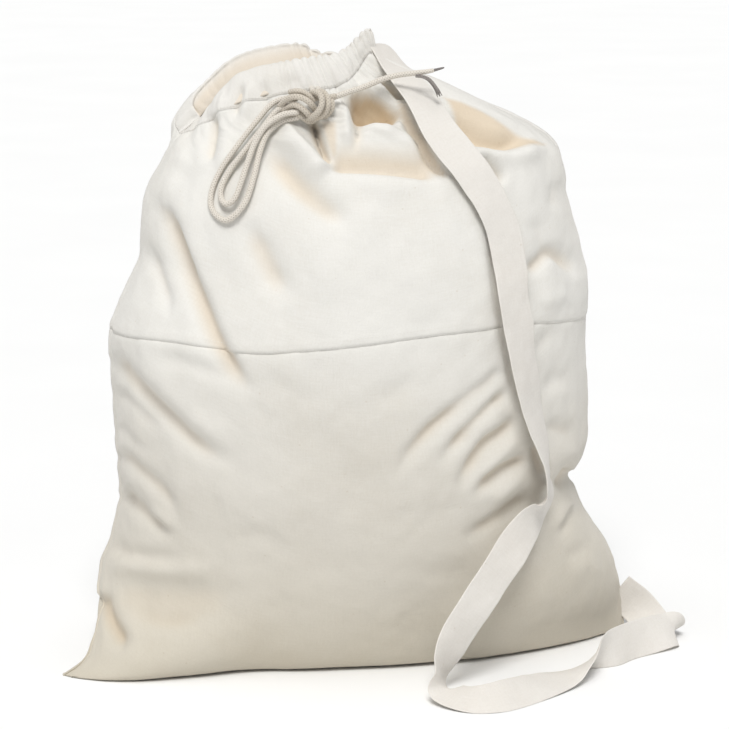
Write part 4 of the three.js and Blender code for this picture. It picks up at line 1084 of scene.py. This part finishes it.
def knot_path(rows, n=90):
    """Turns given as they line up in the front elevation, with their depth."""
    return catmull([at_depth(x, z, y) for x, z, y in rows], n)


# the wrap that stands up on the right and closes the knot, in two turns side by side
kp.append((knot_path([
    (-43.5, 555.5, -63), (-41.5, 560.5, -68), (-37.5, 562.5, -74), (-32.5, 560.5, -79), (-30.5, 554.5, -83),
    (-31.5, 547.5, -84), (-35.5, 541.5, -82), (-40.5, 537.5, -77), (-45.5, 536.5, -70), (-48.5, 540.5, -63),
]), 1.06))
kp.append((knot_path([
    (-37.5, 558.5, -60), (-34.5, 562.5, -65), (-29.5, 562.5, -71), (-25.5, 557.5, -76), (-24.5, 550.5, -79),
    (-26.5, 543.5, -77), (-31.5, 538.5, -73), (-37.5, 535.5, -68), (-43.5, 534.5, -62),
]), 1.0))
kp.append((knot_path([
    (-30.5, 558.5, -58), (-24.5, 557.5, -62), (-20.5, 552.5, -66), (-20.5, 546.5, -67), (-24.5, 540.5, -64),
    (-31.5, 536.5, -60), (-38.5, 536.5, -56),
]), 0.95))
# the loop that comes in over the top from the left and dives under the wrap
kp.append((knot_path([
    (-72.5, 548.5, -62), (-66.5, 554.5, -68), (-60.5, 557.5, -73), (-53.5, 557.5, -77), (-46.5, 554.5, -79),
    (-41.5, 550.5, -78), (-37.5, 545.5, -73),
]), 1.05))
kp.append((knot_path([
    (-69.5, 542.5, -62), (-63.5, 547.5, -68), (-58.5, 549.5, -73), (-52.5, 547.5, -77), (-47.5, 543.5, -78),
    (-43.5, 539.5, -75), (-39.5, 536.5, -69),
]), 1.0))
# turns lying across the front and under
kp.append((knot_path([
    (-62.5, 562.5, -66), (-56.5, 563.5, -71), (-49.5, 562.5, -74), (-43.5, 558.5, -75), (-39.5, 553.5, -73),
]), 0.95))
kp.append((knot_path([
    (-69.5, 537.5, -60), (-62.5, 540.5, -66), (-56.5, 540.5, -70), (-50.5, 537.5, -71), (-44.5, 533.5, -68),
    (-38.5, 533.5, -63),
]), 0.95))
kp.append((knot_path([
    (-61.5, 553.5, -60), (-56.5, 546.5, -66), (-52.5, 541.5, -70), (-48.5, 536.5, -70), (-43.5, 532.5, -66),
]), 0.9))
# the end that goes off to the right as the tail
kp.append((knot_path([
    (-40.5, 555.5, -66), (-34.5, 556.5, -68), (-28.5, 557, -67), (-22.5, 557.5, -65), (-17.5, 558.5, -63.5),
]), 0.96))
# the knot's darker colour is painted shade
knot = tube_object("drawcord_bow_knot", [tube(catmull(p, int(line_length(p) / 0.62)), knot_r * s, sides=20, braid=0.10, pitch=11.0, phase=i)
                                        for i, (p, s) in enumerate(kp)], mat_knot_shaded)

# strands from the knot back through the slot in the hem
exits = []
for dx in (-2.9, 2.9):
    p = catmull([K + [1.5 + dx * 0.9, 5.0, 7.0], K + [2.0 + dx, 11.0, 10.5], K + [2.5 + dx, 19.0, 12.5], K + [3.0 + dx, 28.0, 12.8], K + [3.5 + dx, 37.0, 12.0]], 70)
    exits.append(tube(p, CORD_D / 2 * 0.9, sides=18, braid=0.13, pitch=11.0))
exit_strands = tube_object("drawcord_exit_pair", exits, mat_cord)

# the length that runs round inside the hem
mid = N_HEM // 2
def inner_line(Q, side, row, cols):
    n = grid_normals(Q)[row] * (1 if side < 0 else -1)
    return (Q[row] - gauss(n, 4.0, 0) * 4.4)[cols]
f_run = inner_line(Qf, -1, I_HEM + mid, slice(8, 232))
b_run = inner_line(Qb, 1, I_HEM + mid, slice(5, 145))
run = np.concatenate([f_run[::6], b_run[::-6]])
run = gauss(catmull(run, 500), 4, 0)
channel = tube_object("drawcord_inside_hem", [tube(catmull(run, int(line_length(run) / 1.2)), 1.7, sides=14, braid=0.12, pitch=11.0)], mat_cord)

# ---------------------------------------------------------------------------
# carrying strap: one length of flat tape, sewn to the mouth and into the side seam
# ---------------------------------------------------------------------------
STRAP_W = 38.0
STRAP = [
    # sewn to the right end of the hem, behind the peak, then down over the shoulder
    (15.9, 17.0, 591.1, 0.50, 0.85, 0.10),
    (18.7, 16.0, 600.0, 0.52, 0.85, 0.05),
    (22.5, 14.5, 606.5, 0.58, 0.81, -0.05),
    (27.9, 11.0, 605.2, 0.62, 0.78, -0.08),
    (37.6, -7.0, 592.1, 0.72, 0.68, -0.09),
    (47.8, -30.0, 579.6, 0.84, 0.54, -0.01),
    (56.8, -51.0, 566.2, 0.88, 0.47, 0.05),
    (66.0, -69.0, 549.3, 0.91, 0.40, 0.11),
    (74.2, -84.5, 532.3, 0.92, 0.33, 0.22),
    (85.3, -96.0, 516.4, 0.93, 0.26, 0.26),
    (98.0, -104.0, 500.0, 0.93, 0.28, 0.20),
    (109.9, -108.5, 481.8, 0.93, 0.33, 0.15),
    (120.5, -113.0, 462.7, 0.93, 0.35, 0.0), (130.0, -116.0, 440.0, 0.93, 0.36, -0.08),
    (135.1, -122.3, 406.9, 0.91, 0.38, -0.12), (137.0, -128.5, 379.8, 0.88, 0.45, -0.15),
    (141.4, -130.0, 355.0, 0.86, 0.49, -0.13), (146.6, -130.3, 321.3, 0.77, 0.62, -0.15),
    (152.1, -128.5, 294.7, 0.72, 0.67, -0.18), (157.9, -126.5, 269.9, 0.68, 0.70, -0.23),
    (163.2, -126.0, 249.2, 0.59, 0.77, -0.23), (168.5, -125.0, 231.2, 0.48, 0.84, -0.24),
    (173.1, -122.5, 211.1, 0.30, 0.92, -0.26), (176.1, -118.0, 192.2, 0.26, 0.93, -0.27),
    (177.0, -113.5, 178.5, 0.30, 0.90, -0.30), (173.5, -110.5, 168.4, 0.46, 0.82, -0.33),
    (166.5, -111.5, 160.5, 0.66, 0.66, -0.34), (158.5, -115.5, 152.0, 0.78, 0.50, -0.36),
    (147.5, -124.0, 140.5, 0.84, 0.37, -0.39), (131.9, -138.0, 124.0, 0.85, 0.27, -0.42),
    (113.5, -148.0, 101.5, 0.85, 0.27, -0.42),
    (94.3, -158.0, 78.3, 0.86, 0.28, -0.40), (77.3, -163.0, 52.9, 0.86, 0.36, -0.33),
    (66.5, -168.0, 34.0, 0.72, 0.60, -0.28), (61.0, -174.0, 20.0, 0.42, 0.88, -0.12),
    (61.5, -183.0, 10.8, 0.34, 0.93, 0.06), (68.0, -196.0, 8.2, 0.66, 0.70, 0.24),
    (78.5, -208.0, 8.0, 0.58, 0.72, 0.36), (92.0, -214.5, 8.6, 0.22, 0.86, 0.45),
    (110.0, -213.5, 9.4, -0.22, 0.84, 0.48), (133.2, -200.0, 9.4, -0.50, 0.70, 0.50),
    (162.0, -177.0, 7.6, -0.58, 0.74, 0.32), (188.8, -154.5, 6.2, -0.62, 0.76, 0.0),
    (203.0, -143.5, 9.5, -0.62, 0.68, -0.36), (217.0, -132.0, 13.6, -0.48, 0.52, -0.68),
    (231.0, -120.5, 17.0, -0.12, 0.20, -0.90), (247.0, -107.0, 17.6, 0.20, -0.16, -0.93),
    (271.0, -86.0, 17.4, 0.27, -0.28, -0.90),
    (290.0, -73.0, 17.4, 0.27, -0.40, -0.84), (306.0, -63.0, 17.4, 0.20, -0.58, -0.76),
    (318.0, -54.0, 16.4, 0.02, -0.78, -0.60), (325.5, -44.0, 12.6, -0.34, -0.86, -0.34),
    (324.0, -33.0, 7.4, -0.72, -0.65, -0.16), 
(318.0, -19.0, 6.0, -0.88, -0.42, -0.15),
    (311.5, -5.5, 10.5, -0.86, -0.25, -0.36), (305.0, 4.0, 17.5, -0.79, -0.08, -0.55),
    (297.5, 10.2, 25.5, -0.72, 0.0, -0.69), (288.0, 12.0, 33.0, -0.67, 0.0, -0.74), (279.0, 12.0, 40.5, -0.64, 0.0, -0.77),
]


def tape_mesh(name, stations, width, thickness, material):
    s = np.array(stations, float)
    s[:, 3:] = unit(s[:, 3:])
    total = line_length(catmull(s, 900))
    line = catmull(s, int(total / 1.9))
    line = np.concatenate([gauss(line[:, :3], 1.5, 0), gauss(line[:, 3:], 2.0, 0)], 1)
    c, w = line[:, :3], line[:, 3:]
    t = unit(np.gradient(c, axis=0))
    w = unit(w - t * (w * t).sum(1, keepdims=True))
    up = np.cross(t, w)
    d = np.concatenate([[0], np.cumsum(np.linalg.norm(np.diff(c, axis=0), axis=1))])
    n = len(c)
    across = np.sin(np.linspace(-1, 1, 27) * math.pi / 2 * 0.985) / math.sin(math.pi / 2 * 0.985)
    a = across * width / 2
    half = thickness / 2 * np.sqrt(np.maximum(0, 1 - np.abs(across) ** 14)) + 0.05
    half = half - 0.22 * np.exp(-((np.abs(a) - 15.6) / 0.9) ** 2)
    D, A = np.meshgrid(d, a, indexing="ij")
    wave = wrinkle_field(D, A * 1.2, (120, 48, 22, 9), (0.55, 0.32, 0.14, 0.05), 77)
    edge = 0.35 * np.sin(D / 13.0 + 2 * np.sin(D / 61.0)) * (np.abs(A) / (width / 2)) ** 3 * np.sign(A)
    # width draws in by a hair where the stitching pulls
    wscale = 1 - 0.006 * (1 + np.sin(d / 9.0))
    top = c[:, None] + w[:, None] * (A * wscale[:, None])[..., None] + up[:, None] * (wave + edge + half[None])[..., None]
    bot = c[:, None] + w[:, None] * (A * wscale[:, None])[..., None] + up[:, None] * (wave + edge - half[None])[..., None]
    ring = np.concatenate([top, bot[:, ::-1]], 1)
    k = ring.shape[1]
    V = ring.reshape(-1, 3)
    V[:, 2] = np.maximum(V[:, 2], 0.35)
    idx = np.arange(n * k).reshape(n, k)
    nxt = np.roll(idx, -1, axis=1)
    F = [tuple(f) for f in np.stack([idx[:-1], nxt[:-1], nxt[1:], idx[1:]], -1).reshape(-1, 4)]
    m = len(across)
    for e, flip in ((0, False), (n - 1, True)):
        for j in range(m - 1):
            f = (idx[e, j], idx[e, j + 1], idx[e, k - 2 - j], idx[e, k - 1 - j])
            F.append(f[::-1] if not flip else f)
    coord = np.concatenate([np.broadcast_to(a, (n, m)), np.broadcast_to(a[::-1], (n, m))], 1)
    lay = np.concatenate([np.zeros((n, m)), np.full((n, m), 0.7)], 1)
    xy = np.stack([coord.ravel() / 1000, np.broadcast_to(d[:, None], (n, k)).ravel() / 1000, lay.ravel()], -1)
    o = make_object(name, V, F, material, {"cloth_xy": xy, "rest_z": V[:, 2] / 1000})
    return o, c, w, up, d, wave


strap, strap_c, strap_w, strap_up, strap_d, strap_wave = tape_mesh("carrying_strap_tape", STRAP, STRAP_W, 1.7, mat_tape)


def face_out(o):
    import bmesh
    bm = bmesh.new()
    bm.from_mesh(o.data)
    bmesh.ops.recalc_face_normals(bm, faces=bm.faces)
    bm.to_mesh(o.data)
    bm.free()
    o.data.update()


for o in (strap, bow_outer, bow_inner, tail, tip, fray, knot, exit_strands, channel, panel_stitch, hem_stitch):
    face_out(o)

# ---------------------------------------------------------------------------
# what rides on what
# ---------------------------------------------------------------------------
for o, n in ((front_lower, "front_lower_panel"), (front_upper, "front_upper_panel"), (front_hem, "mouth_casing_front"),
             (back_lower, "back_lower_panel"), (back_upper, "back_upper_panel"), (back_hem, "mouth_casing_back"),
             (channel, "drawcord_channel_run")):
    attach(o, "root")
    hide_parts(n)
for o in (panel_stitch, hem_stitch):
    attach(o, "root")
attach(knot, "drawcord")
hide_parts("drawcord_knot")
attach(exit_strands, "drawcord")
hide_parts("drawcord_exit_strands")
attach(bow_outer, "bow")
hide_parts("drawcord_bow_outer")
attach(bow_inner, "bow")
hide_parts("drawcord_bow_inner")
for o, n in ((tail, "drawcord_tail"), (tip, "drawcord_tail_tip"), (fray, "drawcord_frayed_end")):
    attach(o, "tail")
    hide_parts(n)
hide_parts("shoulder_strap", "strap_upper_end", "strap_lower_end")
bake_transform(strap)

# ---------------------------------------------------------------------------
# floor, light, world
# ---------------------------------------------------------------------------
floor_mesh = bpy.data.meshes.new("floor")
R = 30.0
floor_mesh.from_pydata([(-R, -R, 0), (R, -R, 0), (R, R, 0), (-R, R, 0)], [], [(0, 1, 2, 3)])
floor = bpy.data.objects.new("floor", floor_mesh)
scene.collection.objects.link(floor)
fm, FN, FL = new_material("pale_floor")
fo = node(FN, "ShaderNodeOutputMaterial")
fb_ = node(FN, "ShaderNodeBsdfDiffuse")
fn = node(FN, "ShaderNodeTexNoise")
fn.inputs["Scale"].default_value = 3.0
fg = node(FN, "ShaderNodeTexCoord")
FL.new(fg.outputs["Object"], fn.inputs["Vector"])
FL.new(ramp(FN, FL, fn.outputs[0], [(0.3, (0.90, 0.90, 0.895)), (0.7, (0.915, 0.915, 0.91))]), fb_.inputs["Color"])
FL.new(fb_.outputs[0], fo.inputs[0])
floor_mesh.materials.append(fm)

world = bpy.data.worlds.new("studio")
scene.world = world
world.use_nodes = True
bg = world.node_tree.nodes["Background"]
bg.inputs[0].default_value = (0.98, 0.99, 1.0, 1)
bg.inputs[1].default_value = 0.34


def light(kind, name, energy, direction, **settings):
    d = bpy.data.lights.new(name, kind)
    d.energy = energy
    for k, v in settings.items():
        setattr(d, k, v)
    o = bpy.data.objects.new(name, d)
    scene.collection.objects.link(o)
    o.rotation_mode = "QUATERNION"
    o.rotation_quaternion = Vector(direction).to_track_quat("-Z", "Y")
    return o


light("SUN", "key_from_upper_front", 2.05, (0.10, 0.62, -0.85), angle=math.radians(24), color=(1.0, 0.995, 0.985))
light("SUN", "soft_top", 0.75, (0.1, 0.05, -1.0), angle=math.radians(45), color=(0.985, 0.99, 1.0))

scene.view_settings.view_transform = "Standard"
scene.view_settings.look = "None"
scene.view_settings.exposure = 0.0

bpy.context.view_layer.update()
